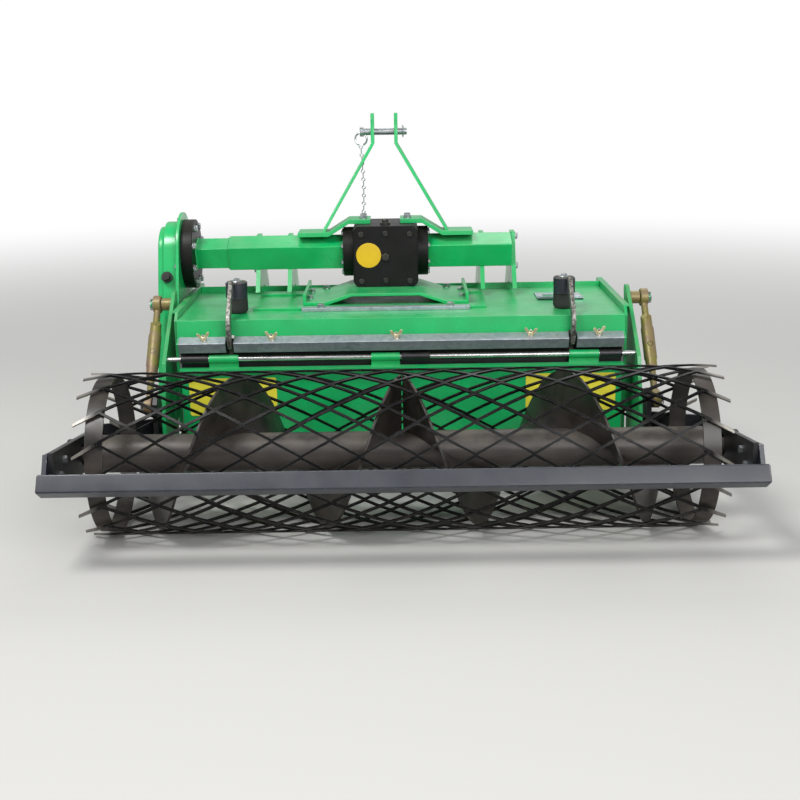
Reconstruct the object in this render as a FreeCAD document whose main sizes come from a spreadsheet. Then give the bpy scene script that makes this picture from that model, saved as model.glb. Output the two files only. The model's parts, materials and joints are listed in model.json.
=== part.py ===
"""Rotary tiller for a compact tractor, with a bladed rotor, a stone comb and a mesh rear roller.

X points to the machine's right, Y forward and Z up. The machine stands on its two
skids and on its rear roller. The origin is on the floor below the hinge of the rear door.
"""
import FreeCAD, Part
import math
import os
import re

import Sketcher
from FreeCAD import Placement, Rotation, Vector

os.makedirs("parts", exist_ok=True)
doc = FreeCAD.newDocument("RotaryTiller")
sheet = doc.addObject("Spreadsheet::Sheet", "Sizes")

# Driving dimensions in millimetres and degrees: name, value
SIZES = (
    # Rear roller
    ("roller_y", -300), ("roller_radius", 191), ("cage_beyond_axle", 24), ("cell_count", 20),
    ("cage_chords", 14), ("strand_width", 9), ("strand_wall", 3), ("strand_gap", 0.8),
    ("seat_gap", 0.4), ("band_width", 40), ("band_wall", 5), ("band_inset", 33),
    ("axle_radius", 44.5), ("axle_half", 718), ("flight_pitch", 390), ("flight_wall", 6),
    ("flight_steps", 16), ("roller_stub_radius", 17.5), ("run_gap", 0.05),
    # Arms of the roller, which swing on the side brackets
    ("arm_pivot_y", 50), ("arm_pivot_z", 140), ("arm_wall", 12), ("arm_front_x", 620),
    ("arm_beyond_axle", 34), ("arm_bend_front_y", 8), ("arm_bend_rear_y", -92), ("arm_half_depth", 44),
    ("arm_nose", 42), ("arm_end_y", -548), ("pivot_radius", 15), ("arm_stub_hole", 26),
    ("bar_y", -582.9), ("bar_z", 208), ("bar_side", 46), ("bar_overhang", 33), ("bar_turn", 45),
    ("bar_plate_front_y", -440), ("bar_plate_wall", 10),
    ("bearing_radius", 36), ("bearing_bolt_span", 60), ("bearing_lobe", 21), ("bearing_wall", 22),
    # Turnbuckles between the side brackets and the arms
    ("eye_pin_radius", 9.5), ("upper_pin_y", 160), ("upper_pin_z", 462), ("lower_pin_y", -40),
    ("lower_pin_z", 236), ("eye_radius", 24), ("eye_wall", 20), ("eye_x", 646), ("eye_play", 3.5),
    ("pin_overhang", 8), ("rod_radius", 9), ("barrel_radius", 17), ("barrel_top", 66),
    ("barrel_bottom", 215), ("rod_reach", 165), ("barrel_bore_top", 112), ("nut_radius", 15),
    ("nut_height", 10), ("lug_front_y", 30), ("lug_rear_y", -68), ("lug_top_z", 262),
    # Side plates with their skids, and the outer brackets
    ("side_x", 572), ("side_wall", 8), ("side_rear_y", 22), ("side_front_y", 490), ("side_top_z", 463),
    ("side_toe_y", 508), ("skid_height", 10), ("skid_rear_y", 90), ("skid_front_y", 430),
    ("skid_tip_y", 500), ("skid_tip_z", 55), ("skid_width", 40), ("side_flange_wall", 4),
    ("side_flange_width", 8),
    ("bracket_x", 598), ("bracket_wall", 10),
    # Hood
    ("hood_rear_y", -14.3), ("hood_rear_z", 389), ("hood_knee_y", 7.7), ("hood_knee_z", 400),
    ("hood_fold_y", 10), ("hood_top_z", 446), ("hood_lip_y", 433), ("hood_lip_z", 462),
    ("hood_front_y", 505), ("hood_front_z", 335), ("hood_wall", 4), ("slot_width", 20),
    ("rail_wall", 6), ("rail_left_x", -390), ("rail_right_x", 226), ("rail_y", 130), ("rail_width", 45),
    ("front_rail_y", 350),
    # Angle strips and rubber strip above the door hinge
    ("strip_y", -24), ("strip_z", 392), ("strip_leg", 30), ("strip_wall", 3), ("strip_tilt", 26.57),
    ("rubber_wall", 4),
    # Door hinge, rear door and stone comb
    ("hinge_z", 347), ("hinge_rod_radius", 6.5), ("knuckle_radius", 11), ("spacer_radius", 10.5),
    ("door_gap", 6), ("door_wall", 4), ("door_top_z", 325),
    ("door_flange", 24), ("door_bend_z", 140), ("door_tip_y", -22), ("door_tip_z", 112),
    ("comb_bar_y", 28), ("comb_bar_z", 312), ("comb_bar_side", 24), ("comb_gap", 6),
    ("tooth_count", 26), ("tooth_radius", 6), ("tooth_bottom_z", 40), ("tooth_point", 18),
    ("comb_arm_x", 436), ("comb_arm_wall", 10), ("buffer_x", 427), ("buffer_radius", 28), ("buffer_y", 112),
    ("buffer_top_z", 531),
    # Rotor
    ("rotor_y", 240), ("rotor_z", 205), ("rotor_tube_radius", 38), ("rotor_half", 550),
    ("rotor_stub_radius", 20), ("flange_count", 7), ("flange_pitch", 160), ("flange_radius", 82),
    ("flange_wall", 10), ("blade_wall", 8), ("blade_width", 46), ("blade_root", 50),
    ("blade_tip_radius", 193), ("blade_foot", 62), ("blade_stagger", 26), ("side_hole", 30),
    ("rotor_bearing_radius", 65), ("rotor_boss_radius", 42), ("rotor_boss_length", 33),
    # Beam, chain case and drive flange
    ("beam_y", 360), ("beam_z", 568), ("beam_side", 70), ("beam_inner_side", 62), ("beam_wall", 6),
    ("beam_turn", 22), ("beam_left_x", -566), ("sleeve_x", -474), ("gear_left_x", -156),
    ("gear_right_x", 78), ("beam_right_x", 311), ("case_plate_radius", 115), ("case_plate_wall", 8),
    ("case_radius", 90), ("case_depth", 40), ("case_bulge", 16), ("case_bulge_radius", 76),
    ("drive_flange_radius", 95), ("stub_seat", 30),
    # Gearbox and drive stub
    ("gear_x", -39), ("gear_half", 89), ("gear_rear_y", 275), ("gear_front_y", 445), ("gear_bottom_z", 482),
    ("gear_top_z", 648), ("cover_half", 87), ("cover_wall", 10), ("shaft_z", 564), ("boss_radius", 55),
    ("boss_length", 55), ("journal_radius", 21), ("stub_radius", 17.45), ("stub_tip_y", 615.4),
    ("spline_count", 6), ("spline_width", 8.6), ("spline_depth", 2.6), ("spline_length", 76),
    ("gear_side_radius", 68),
    # Saddle that clamps the gearbox to the hood
    ("saddle_half", 221), ("saddle_inner", 158), ("saddle_crown", 92), ("saddle_wall", 8),
    ("saddle_rear_y", 165), ("saddle_front_y", 400), ("clamp_bar_width", 25), ("clamp_bar_wall", 10),
    # Three-point hitch
    ("foot_wall", 12), ("foot_outer", 242), ("foot_inner", 157), ("foot_rise", 101), ("foot_pad", 41),
    ("foot_rear_y", 322), ("foot_front_y", 412), ("mast_wall", 10), ("mast_foot", 166),
    ("mast_inner", 28), ("mast_head", 83), ("mast_top_z", 939), ("mast_width", 60),
    ("mast_foot_y", 367), ("top_pin_y", 490), ("pin_below_top", 51), ("top_pin_radius", 9.5),
    ("top_pin_half", 64), ("hitch_inner", 262), ("hitch_outer", 350), ("hitch_wall", 12),
    ("lower_hitch_y", 520), ("lower_hitch_z", 428), ("lower_hole_radius", 11.25),
)
# Places that follow other sizes: name, formula. A formula may use the names after it
FOLLOWERS = (
    ("bar_half", "arm_rear_x + bar_overhang"), ("arm_rear_x", "axle_half + arm_beyond_axle"),
    ("cage_half", "axle_half + cage_beyond_axle"), ("band_x", "axle_half - band_inset"),
    ("top_pin_z", "mast_top_z - pin_below_top"), ("mast_bend_z", "mast_top_z - mast_head"),
    ("comb_half", "side_x - comb_gap"), ("door_half", "side_x - door_gap"),
)
for row, (name, value) in enumerate(SIZES, start=1):
    sheet.set(f"A{row}", name)
    sheet.set(f"B{row}", str(value))
    sheet.setAlias(f"B{row}", name)
doc.recompute()
ALIASES = {name for name, value in SIZES}
NODES = []


def link(text):
    """Turn a formula of size names into one that reads the sheet."""
    text = str(text)
    for name, formula in FOLLOWERS:
        text = re.sub(rf"\b{name}\b", f"({formula})", text)
    return re.sub(r"[a-z][a-z_]*", lambda m: "Sizes." + m[0] if m[0] in ALIASES else m[0], text)


def size(text):
    """Give the number that a formula of size names stands for."""
    return float(doc.Sizes.evalExpression(link(text)))


def place(thing, x=0, y=0, z=0, turn=0, axis=Vector(1, 0, 0)):
    """Place an object by formulas, turned about an axis through its own origin."""
    thing.Placement = Placement(Vector(0, 0, 0), Rotation(axis, size(turn)))
    if turn:
        thing.setExpression("Placement.Rotation.Angle", link(turn))
    for letter, text in zip("xyz", (x, y, z)):
        thing.setExpression("Placement.Base." + letter, link(text))
    return thing


def box(name, length, width, height, x, y, z, turn=0):
    """Make a box with its low corner at x, y, z."""
    thing = doc.addObject("Part::Box", name)
    for prop, text in (("Length", length), ("Width", width), ("Height", height)):
        thing.setExpression(prop, link(text))
    return place(thing, x, y, z, turn)


def rod(name, radius, length, x, y, z, along="x"):
    """Make a cylinder that starts at x, y, z and runs along an axis."""
    thing = doc.addObject("Part::Cylinder", name)
    thing.setExpression("Radius", link(radius))
    thing.setExpression("Height", link(length))
    axis, turn = {"x": (Vector(0, 1, 0), 90), "y": (Vector(1, 0, 0), -90), "z": (Vector(0, 0, 1), 0)}[along]
    return place(thing, x, y, z, turn, axis)


def profile(name, plane, outline, length, start=0, holes=()):
    """Pad a closed outline of formulas off one of the three planes.

    The planes are "YZ" (pads along X), "XY" (pads along Z) and "XZ" (pads along Y).
    Holes are circles given as (across, up, radius).
    """
    body = doc.addObject("PartDesign::Body", name + "_body")
    sketch = body.newObject("Sketcher::SketchObject", name + "_sketch")
    role = plane + "_Plane"
    origin_plane = next(item for item in body.Origin.OriginFeatures if item.Role == role)
    sketch.AttachmentSupport = [(origin_plane, "")]
    sketch.MapMode = "FlatFace"
    corners = [Vector(size(across), size(up), 0) for across, up in outline]
    count = len(corners)
    for index, corner in enumerate(corners):
        sketch.addGeometry(Part.LineSegment(corner, corners[(index + 1) % count]), False)
    for index in range(count):
        sketch.addConstraint(Sketcher.Constraint("Coincident", index, 2, (index + 1) % count, 1))
    for index, texts in enumerate(outline):
        for kind, text, number in zip(("DistanceX", "DistanceY"), texts, corners[index]):
            fixed = sketch.addConstraint(Sketcher.Constraint(kind, -1, 1, index, 1, number))
            sketch.setExpression(f"Constraints[{fixed}]", link(text))
    for across, up, radius in holes:
        centre = Vector(size(across), size(up), 0)
        ring = sketch.addGeometry(Part.Circle(centre, Vector(0, 0, 1), size(radius)), False)
        for kind, text, number in (("DistanceX", across, centre.x), ("DistanceY", up, centre.y)):
            fixed = sketch.addConstraint(Sketcher.Constraint(kind, -1, 1, ring, 3, number))
            sketch.setExpression(f"Constraints[{fixed}]", link(text))
        fixed = sketch.addConstraint(Sketcher.Constraint("Radius", ring, size(radius)))
        sketch.setExpression(f"Constraints[{fixed}]", link(radius))
    pad = body.newObject("PartDesign::Pad", name + "_pad")
    pad.Profile = sketch
    pad.setExpression("Length", link(length))
    pad.Reversed = plane == "XZ"
    shift = {"YZ": (start, 0, 0), "XY": (0, 0, start), "XZ": (0, start, 0)}[plane]
    return place(body, *shift)


def fuse(name, things):
    """Join several objects into one."""
    joined = doc.addObject("Part::MultiFuse", name)
    joined.Shapes = things
    return joined


def cut(name, base, tool):
    """Take one object out of another."""
    result = doc.addObject("Part::Cut", name)
    result.Base = base
    result.Tool = tool
    return result


def common(name, first, second):
    """Keep what two objects share."""
    result = doc.addObject("Part::MultiCommon", name)
    result.Shapes = [first, second]
    return result


def node(name, thing):
    """Name an object as a piece of the machine."""
    thing.Label = name
    NODES.append((name, thing))
    return thing


def solid_piece(name, shape):
    """Make a piece from a shape that was worked out from the sheet."""
    thing = doc.addObject("Part::Feature", name + "_shape")
    thing.Shape = shape
    return node(name, thing)


def faceted(rings):
    """Make a solid from a row of rings of points, each side split into triangles."""
    faces = []
    corners = len(rings[0])
    for low, high in zip(rings, rings[1:]):
        for index in range(corners):
            after = (index + 1) % corners
            for trio in ((low[index], low[after], high[after]), (low[index], high[after], high[index])):
                faces.append(Part.Face(Part.makePolygon([*trio, trio[0]])))
    for ring in (rings[0], rings[-1]):
        faces.append(Part.Face(Part.makePolygon([*ring, ring[0]])))
    solid = Part.Solid(Part.Shell(faces))
    if solid.Volume < 0:
        solid.reverse()
    return solid


# Beam: an inner tube and a sleeve on the left, one capped tube on the right


def beam_tube(name, side, x, length):
    """Make a square tube along X, turned about the beam's axis."""
    half = f"{side} / 2"
    ring = ((f"-{half}", f"-{half}"), (half, f"-{half}"), (half, half), (f"-{half}", half))
    outer = profile(name + "_outer", "YZ", ring, length)
    inner_half = f"({side} / 2 - beam_wall)"
    hole = tuple((across.replace(half, inner_half), up.replace(half, inner_half)) for across, up in ring)
    inner = profile(name + "_inner", "YZ", hole, length)
    tube = cut(name + "_tube", outer, inner)
    return place(tube, x, "beam_y", "beam_z", "beam_turn")


def beam_block(name, side, x, length):
    """Make a solid square bar on the beam's axis, for cuts and caps."""
    half = f"{side} / 2"
    ring = ((f"-{half}", f"-{half}"), (half, f"-{half}"), (half, half), (f"-{half}", half))
    return place(profile(name, "YZ", ring, length), x, "beam_y", "beam_z", "beam_turn")


node("beam_left", fuse("beam_left_all", [
    beam_tube("beam_inner", "beam_inner_side", "beam_left_x", "sleeve_x - beam_left_x"),
    beam_block("sleeve_end", "beam_side", "sleeve_x", "beam_wall"),
    beam_tube("beam_sleeve", "beam_side", "sleeve_x + beam_wall", "gear_left_x - sleeve_x - beam_wall"),
]))
node("beam_right", fuse("beam_right_all", [
    beam_tube("beam_short", "beam_side", "gear_right_x", "beam_right_x - beam_wall - gear_right_x"),
    beam_block("beam_cap", "beam_side", "beam_right_x - beam_wall", "beam_wall"),
]))

# Gearbox with its side flanges and front boss, its rear cover and the splined drive stub
gear_body = profile("gear_block", "XZ", (
    ("gear_x - gear_half + 14", "gear_bottom_z"), ("gear_x + gear_half - 14", "gear_bottom_z"),
    ("gear_x + gear_half", "gear_bottom_z + 14"), ("gear_x + gear_half", "gear_top_z - 14"),
    ("gear_x + gear_half - 14", "gear_top_z"), ("gear_x - gear_half + 14", "gear_top_z"),
    ("gear_x - gear_half", "gear_top_z - 14"), ("gear_x - gear_half", "gear_bottom_z + 14"),
), "gear_front_y - gear_rear_y", "gear_rear_y")
gear_solid = fuse("gear_solid", [
    gear_body,
    rod("gear_side_left", "gear_side_radius", "gear_x - gear_half - gear_left_x", "gear_left_x",
        "beam_y", "beam_z"),
    rod("gear_side_right", "gear_side_radius", "gear_right_x - gear_x - gear_half", "gear_x + gear_half",
        "beam_y", "beam_z"),
    rod("gear_boss", "boss_radius", "boss_length", "gear_x", "gear_front_y", "shaft_z", "y"),
])
node("gearbox", cut("gear_bored", gear_solid, rod(
    "gear_bore", "journal_radius + run_gap", "boss_length", "gear_x", "gear_front_y + 12", "shaft_z", "y")))
node("gearbox_cover", profile("cover", "XZ", (
    ("gear_x - cover_half + 10", "gear_bottom_z"), ("gear_x + cover_half - 10", "gear_bottom_z"),
    ("gear_x + cover_half", "gear_bottom_z + 10"), ("gear_x + cover_half", "gear_top_z - 10"),
    ("gear_x + cover_half - 10", "gear_top_z"), ("gear_x - cover_half + 10", "gear_top_z"),
    ("gear_x - cover_half", "gear_top_z - 10"), ("gear_x - cover_half", "gear_bottom_z + 10"),
), "cover_wall", "gear_rear_y - cover_wall"))

spline_cuts = []
for index in range(int(size("spline_count"))):
    groove = profile(f"spline_{index}", "XZ", (
        ("-spline_width / 2", "stub_radius - spline_depth"),
        ("spline_width / 2", "stub_radius - spline_depth"),
        ("spline_width / 2", "stub_radius + spline_depth"),
        ("-spline_width / 2", "stub_radius + spline_depth"),
    ), "spline_length + 2")
    spline_cuts.append(place(groove, "gear_x", "stub_tip_y - spline_length", "shaft_z",
                             f"360 * {index} / spline_count", Vector(0, 1, 0)))
stub_blank = fuse("stub_blank", [
    rod("stub_journal", "journal_radius", "boss_length - 13", "gear_x", "gear_front_y + 13", "shaft_z", "y"),
    rod("stub_shank", "stub_radius", "stub_tip_y - gear_front_y - 13", "gear_x", "gear_front_y + 13",
        "shaft_z", "y"),
])
node("drive_stub", cut("stub_splined", stub_blank, fuse("spline_set", spline_cuts)))

# Chain case on the left: back plate, pressed cover, and the flange at the beam's end
case_lean = "atan((beam_y - rotor_y) / (beam_z - rotor_z))"
case_span = "sqrt((beam_y - rotor_y)^2 + (beam_z - rotor_z)^2)"


def case_shape(name, radius, x, depth):
    """Make a round-ended slab from the rotor's axis up to the beam's axis."""
    slab = box(name + "_slab", depth, f"2 * {radius}", case_span, x,
               f"rotor_y - {radius} * cos({case_lean})", f"rotor_z + {radius} * sin({case_lean})",
               f"-{case_lean}")
    return fuse(name, [
        slab,
        rod(name + "_low", radius, depth, x, "rotor_y", "rotor_z"),
        rod(name + "_high", radius, depth, x, "beam_y", "beam_z"),
    ])


plate_x = "-bracket_x - case_plate_wall"
case_back = case_shape("case_back", "case_plate_radius", plate_x, "case_plate_wall")
node("chain_plate", cut("chain_plate_bored", case_back, rod(
    "case_back_bore", "rotor_stub_radius + run_gap", "case_plate_wall + 2", plate_x + " - 1",
    "rotor_y", "rotor_z")))
case_solid = fuse("case_solid", [
    case_shape("case_pan", "case_radius", plate_x + " - case_depth", "case_depth"),
    case_shape("case_face", "case_bulge_radius", plate_x + " - case_depth - case_bulge", "case_bulge"),
])
node("chain_case", cut("case_bored", case_solid, rod(
    "case_bore", "rotor_stub_radius + run_gap", "stub_seat + 2", plate_x + " - stub_seat - 1",
    "rotor_y", "rotor_z")))
node("drive_flange", rod("drive_disc", "drive_flange_radius", "bracket_x + beam_left_x", "-bracket_x",
                         "beam_y", "beam_z"))

# Hood: one folded sheet with a lip, slotted for the comb's two arms
hood_sheet = profile("hood_sheet", "YZ", (
    ("hood_rear_y", "hood_rear_z"), ("hood_knee_y", "hood_knee_z"), ("hood_fold_y", "hood_top_z"),
    ("hood_lip_y - hood_wall", "hood_top_z"), ("hood_lip_y - hood_wall", "hood_lip_z"),
    ("hood_lip_y", "hood_lip_z"), ("hood_lip_y", "hood_top_z"), ("hood_front_y", "hood_front_z"),
    ("hood_front_y - hood_wall", "hood_front_z - hood_wall / 2"),
    ("hood_lip_y - hood_wall / 2", "hood_top_z - hood_wall"),
    ("hood_fold_y + hood_wall", "hood_top_z - hood_wall"),
    ("hood_knee_y + hood_wall", "hood_knee_z - hood_wall / 2"),
    ("hood_rear_y + hood_wall / 2", "hood_rear_z - hood_wall"),
), "2 * side_x", "-side_x")
slots = fuse("hood_slots", [
    box(f"hood_slot_{side}", "slot_width", "hood_knee_y - hood_rear_y + 30", "38",
        f"{side} * comb_arm_x - slot_width / 2", "hood_rear_y - 8", "hood_rear_z - 20")
    for side in (-1, 1)
])
node("hood", cut("hood_slotted", hood_sheet, slots))
node("hood_rails", fuse("rail_pair", [
    box(name, "rail_right_x - rail_left_x", "rail_width", "rail_wall", "rail_left_x", rail_start,
        "hood_top_z")
    for name, rail_start in (("rear_rail", "rail_y"), ("front_rail", "front_rail_y"))
]))

# Saddle on the rails, raised under the gearbox, and the bar behind the rear rail
node("saddle", profile("saddle_sheet", "XZ", (
    ("gear_x - saddle_half", "hood_top_z + rail_wall"),
    ("gear_x - saddle_inner + 2", "hood_top_z + rail_wall"),
    ("gear_x - saddle_crown + 2", "gear_bottom_z - saddle_wall"),
    ("gear_x + saddle_crown - 2", "gear_bottom_z - saddle_wall"),
    ("gear_x + saddle_inner - 2", "hood_top_z + rail_wall"),
    ("gear_x + saddle_half", "hood_top_z + rail_wall"),
    ("gear_x + saddle_half", "gear_bottom_z"),
    ("gear_x + saddle_half - saddle_wall", "gear_bottom_z"),
    ("gear_x + saddle_half - saddle_wall", "hood_top_z + rail_wall + saddle_wall"),
    ("gear_x + saddle_inner + 2", "hood_top_z + rail_wall + saddle_wall"),
    ("gear_x + saddle_crown + 2", "gear_bottom_z"),
    ("gear_x - saddle_crown - 2", "gear_bottom_z"),
    ("gear_x - saddle_inner - 2", "hood_top_z + rail_wall + saddle_wall"),
    ("gear_x - saddle_half + saddle_wall", "hood_top_z + rail_wall + saddle_wall"),
    ("gear_x - saddle_half + saddle_wall", "gear_bottom_z"),
    ("gear_x - saddle_half", "gear_bottom_z"),
), "saddle_front_y - saddle_rear_y", "saddle_rear_y"))
node("clamp_bar", box("clamp_flat", "2 * saddle_half", "clamp_bar_width", "clamp_bar_wall",
                      "gear_x - saddle_half", "rail_y - clamp_bar_width", "hood_top_z"))

# Three-point hitch: feet and mast straps joined on each side, the hitch plates and the pins
HITCH_SEATS = {
    "left": ("gear_x - hitch_outer - hitch_wall - 5", "gear_x - hitch_inner + 5"),
    "right": ("gear_x + hitch_inner - 5", "beam_right_x"),
}
MAST_X = {
    "left": lambda offset: f"gear_x - {offset}",
    "right": lambda offset: f"gear_x + {offset}",
}
beam_reach = "beam_side / 2 * (cos(beam_turn) + sin(beam_turn))"
foot_z = f"(beam_z + {beam_reach})"
for hand, across in MAST_X.items():
    foot = profile("foot_" + hand, "XZ", (
        (across("foot_outer"), foot_z), (across("foot_inner"), foot_z), (across("foot_rise"), "gear_top_z"),
        (across("foot_pad"), "gear_top_z"), (across("foot_pad"), "gear_top_z + foot_wall"),
        (across("foot_rise"), "gear_top_z + foot_wall"),
        (across("foot_inner"), foot_z + " + foot_wall"), (across("foot_outer"), foot_z + " + foot_wall"),
    ), "foot_front_y - foot_rear_y", "foot_rear_y")
    bent = profile("mast_bent_" + hand, "XZ", (
        (across("(mast_foot + mast_wall)"), foot_z + " + foot_wall"),
        (across("(mast_inner + mast_wall)"), "mast_bend_z"),
        (across("(mast_inner + mast_wall)"), "mast_top_z"),
        (across("mast_inner"), "mast_top_z"), (across("mast_inner"), "mast_bend_z"),
        (across("mast_foot"), foot_z + " + foot_wall"),
    ), "lower_hitch_y")
    lean = profile("mast_lean_" + hand, "YZ", (
        ("mast_foot_y - mast_width / 2", foot_z), ("mast_foot_y + mast_width / 2", foot_z),
        ("top_pin_y + mast_width / 2", "top_pin_z - 20"), ("top_pin_y + mast_width / 2", "mast_top_z - 15"),
        ("top_pin_y + mast_width / 2 - 15", "mast_top_z"), ("top_pin_y - mast_width / 2 + 15", "mast_top_z"),
        ("top_pin_y - mast_width / 2", "mast_top_z - 15"), ("top_pin_y - mast_width / 2", "top_pin_z - 20"),
    ), "2 * side_x", "-side_x", [("top_pin_y", "top_pin_z", "top_pin_radius + run_gap")])
    node("headstock_" + hand, fuse("headstock_all_" + hand, [foot, common("mast_" + hand, bent, lean)]))

    plates = []
    for name, offset in (("inner", "hitch_inner"), ("outer", "hitch_outer")):
        start = across(offset) + ("" if hand == "right" else " - hitch_wall")
        plates.append(profile(f"hitch_{hand}_{name}", "YZ", (
            ("beam_y - 60", "hood_lip_z + 4"), ("hood_lip_y + 7", "hood_lip_z + 4"),
            ("hood_lip_y + 42", "lower_hitch_z - 30"), ("lower_hitch_y", "lower_hitch_z - 38"),
            ("lower_hitch_y + 34", "lower_hitch_z - 18"), ("lower_hitch_y + 34", "lower_hitch_z + 18"),
            ("beam_y + 65", foot_z), ("beam_y + 20", foot_z), ("beam_y - 19", "beam_z - 45"),
        ), "hitch_wall", start, [("lower_hitch_y", "lower_hitch_z", "lower_hole_radius")]))
    seat_start, seat_stop = HITCH_SEATS[hand]
    seat = beam_block("hitch_seat_" + hand, "beam_side", seat_start, f"{seat_stop} - ({seat_start})")
    node("hitch_" + hand, cut("hitch_seated_" + hand, fuse("hitch_pair_" + hand, plates), seat))

node("top_pin", rod("top_pin_rod", "top_pin_radius", "2 * top_pin_half", "gear_x - top_pin_half", "top_pin_y",
                    "top_pin_z"))


# Side plates with top flange and skid, outer brackets with their spacers and pins
SIDES = (("left", -1), ("right", 1))
for hand, sign in SIDES:
    plate_start = "side_x" if sign > 0 else "-side_x - side_wall"
    plate = profile("side_plate_" + hand, "YZ", (
        ("side_rear_y", "90"), ("side_rear_y + 25", "20"), ("skid_rear_y", "0"), ("skid_front_y", "0"),
        ("skid_tip_y", "skid_tip_z"), ("side_toe_y", "150"), ("side_toe_y", "side_top_z - 60"),
        ("side_front_y", "side_top_z"), ("side_rear_y + 20", "side_top_z"),
        ("side_rear_y", "side_top_z - 20"),
    ), "side_wall", plate_start, [("rotor_y", "rotor_z", "side_hole")])
    flange_start = "side_x + side_wall" if sign > 0 else "-side_x - side_wall - side_flange_width"
    flange = box("side_flange_" + hand, "side_flange_width", "side_front_y - side_rear_y - 20",
                 "side_flange_wall", flange_start, "side_rear_y + 20", "side_top_z - side_flange_wall")
    skid_start = "side_x" if sign > 0 else "-side_x - skid_width"
    skid = profile("skid_" + hand, "YZ", (
        ("skid_rear_y", "0"), ("skid_front_y", "0"), ("skid_tip_y", "skid_tip_z"),
        ("skid_tip_y - 7", "skid_tip_z + 8"), ("skid_front_y - 3", "skid_height"),
        ("skid_rear_y", "skid_height"),
    ), "skid_width", skid_start)
    node("side_" + hand, fuse("side_all_" + hand, [plate, flange, skid]))

    start = "bracket_x" if sign > 0 else "-bracket_x - bracket_wall"
    bracket = profile("bracket_plate_" + hand, "YZ", (
        ("arm_pivot_y - 125", "80"), ("arm_pivot_y + 45", "80"), ("arm_pivot_y + 50", "215"),
        ("upper_pin_y + 32", "upper_pin_z + 20"), ("upper_pin_y + 24", "upper_pin_z + 32"),
        ("upper_pin_y + 4", "upper_pin_z + 32"), ("-30", "hinge_z - 2"), ("arm_pivot_y - 125", "215"),
    ), "bracket_wall", start, [("0", "hinge_z", "hinge_rod_radius")])
    gap = "bracket_x - side_x - side_wall"
    gap_start = "side_x + side_wall" if sign > 0 else "-bracket_x"
    spacers = [
        box(f"spacer_low_{hand}", gap, "30", "120", gap_start, "arm_pivot_y", "180"),
        box(f"spacer_high_{hand}", gap, "40", "30", gap_start, "upper_pin_y - 16", "side_top_z - 40"),
    ]
    pivot_length = "arm_front_x + arm_wall + pin_overhang - bracket_x"
    pivot_start = "bracket_x" if sign > 0 else "-arm_front_x - arm_wall - pin_overhang"
    pivot = rod("pivot_" + hand, "pivot_radius", pivot_length, pivot_start, "arm_pivot_y", "arm_pivot_z")
    eye_pin_length = "eye_x + eye_wall / 2 + pin_overhang - bracket_x"
    eye_pin_start = "bracket_x" if sign > 0 else "-eye_x - eye_wall / 2 - pin_overhang"
    eye_pin = rod("upper_pin_" + hand, "eye_pin_radius", eye_pin_length, eye_pin_start, "upper_pin_y",
                  "upper_pin_z")
    eye_collar_start = "bracket_x" if sign > 0 else "-eye_x + eye_wall / 2 + 1"
    eye_collar = rod("upper_collar_" + hand, "eye_pin_radius + 6", "eye_x - eye_wall / 2 - 1 - bracket_x",
                     eye_collar_start, "upper_pin_y", "upper_pin_z")
    node("bracket_" + hand, fuse("bracket_all_" + hand, [bracket, *spacers, pivot, eye_pin, eye_collar]))

rotor_bearing = fuse("rotor_bearing_solid", [
    rod("rotor_bearing_flange", "rotor_bearing_radius", "flange_wall", "side_x + side_wall", "rotor_y",
        "rotor_z"),
    rod("rotor_bearing_boss", "rotor_boss_radius", "rotor_boss_length + flange_wall", "side_x + side_wall",
        "rotor_y", "rotor_z"),
])
node("rotor_bearing", cut("rotor_bearing_bored", rotor_bearing, rod(
    "rotor_bearing_bore", "rotor_stub_radius + run_gap", "stub_seat", "side_x + side_wall", "rotor_y",
    "rotor_z")))

# Angle strips over the hood's rear edge, and the rubber strip that they clamp
gap_half = "slot_width / 2"
STRIP_SPANS = (
    ("left", "-side_x + 6", f"-comb_arm_x - {gap_half}"),
    ("middle", f"-comb_arm_x + {gap_half}", f"comb_arm_x - {gap_half}"),
    ("right", f"comb_arm_x + {gap_half}", "side_x - 6"),
)
angle_ring = (
    ("0", "0"), ("strip_leg", "0"), ("strip_leg", "-strip_wall"), ("strip_wall", "-strip_wall"),
    ("strip_wall", "-strip_leg"), ("0", "-strip_leg"),
)
rubber_ring = (
    ("strip_wall", "-strip_wall"), ("strip_leg", "-strip_wall"), ("strip_leg", "-strip_wall - rubber_wall"),
    ("strip_wall + rubber_wall", "-strip_wall - rubber_wall"), ("strip_wall + rubber_wall", "-19.8"),
    ("22.8", "-52.6"), ("19.1", "-54.3"), ("strip_wall", "-21.4"),
)


def strip_set(name, ring):
    """Make the three lengths of one strip section, tilted along the hood's rear edge."""
    return fuse(name, [
        place(profile(f"{name}_{place_name}", "YZ", ring, f"({stop}) - ({start})"),
              start, "strip_y", "strip_z", "strip_tilt")
        for place_name, start, stop in STRIP_SPANS
    ])


node("angle_strips", strip_set("angle", angle_ring))
node("rubber_strips", strip_set("rubber", rubber_ring))

# Hinge rod, the comb's bar with its knuckles, arms and teeth, and the buffers behind the arms
node("hinge_rod", rod("hinge_bar", "hinge_rod_radius", "2 * (bracket_x + bracket_wall - 1)",
                      "-bracket_x - bracket_wall + 1", "0", "hinge_z"))
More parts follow.
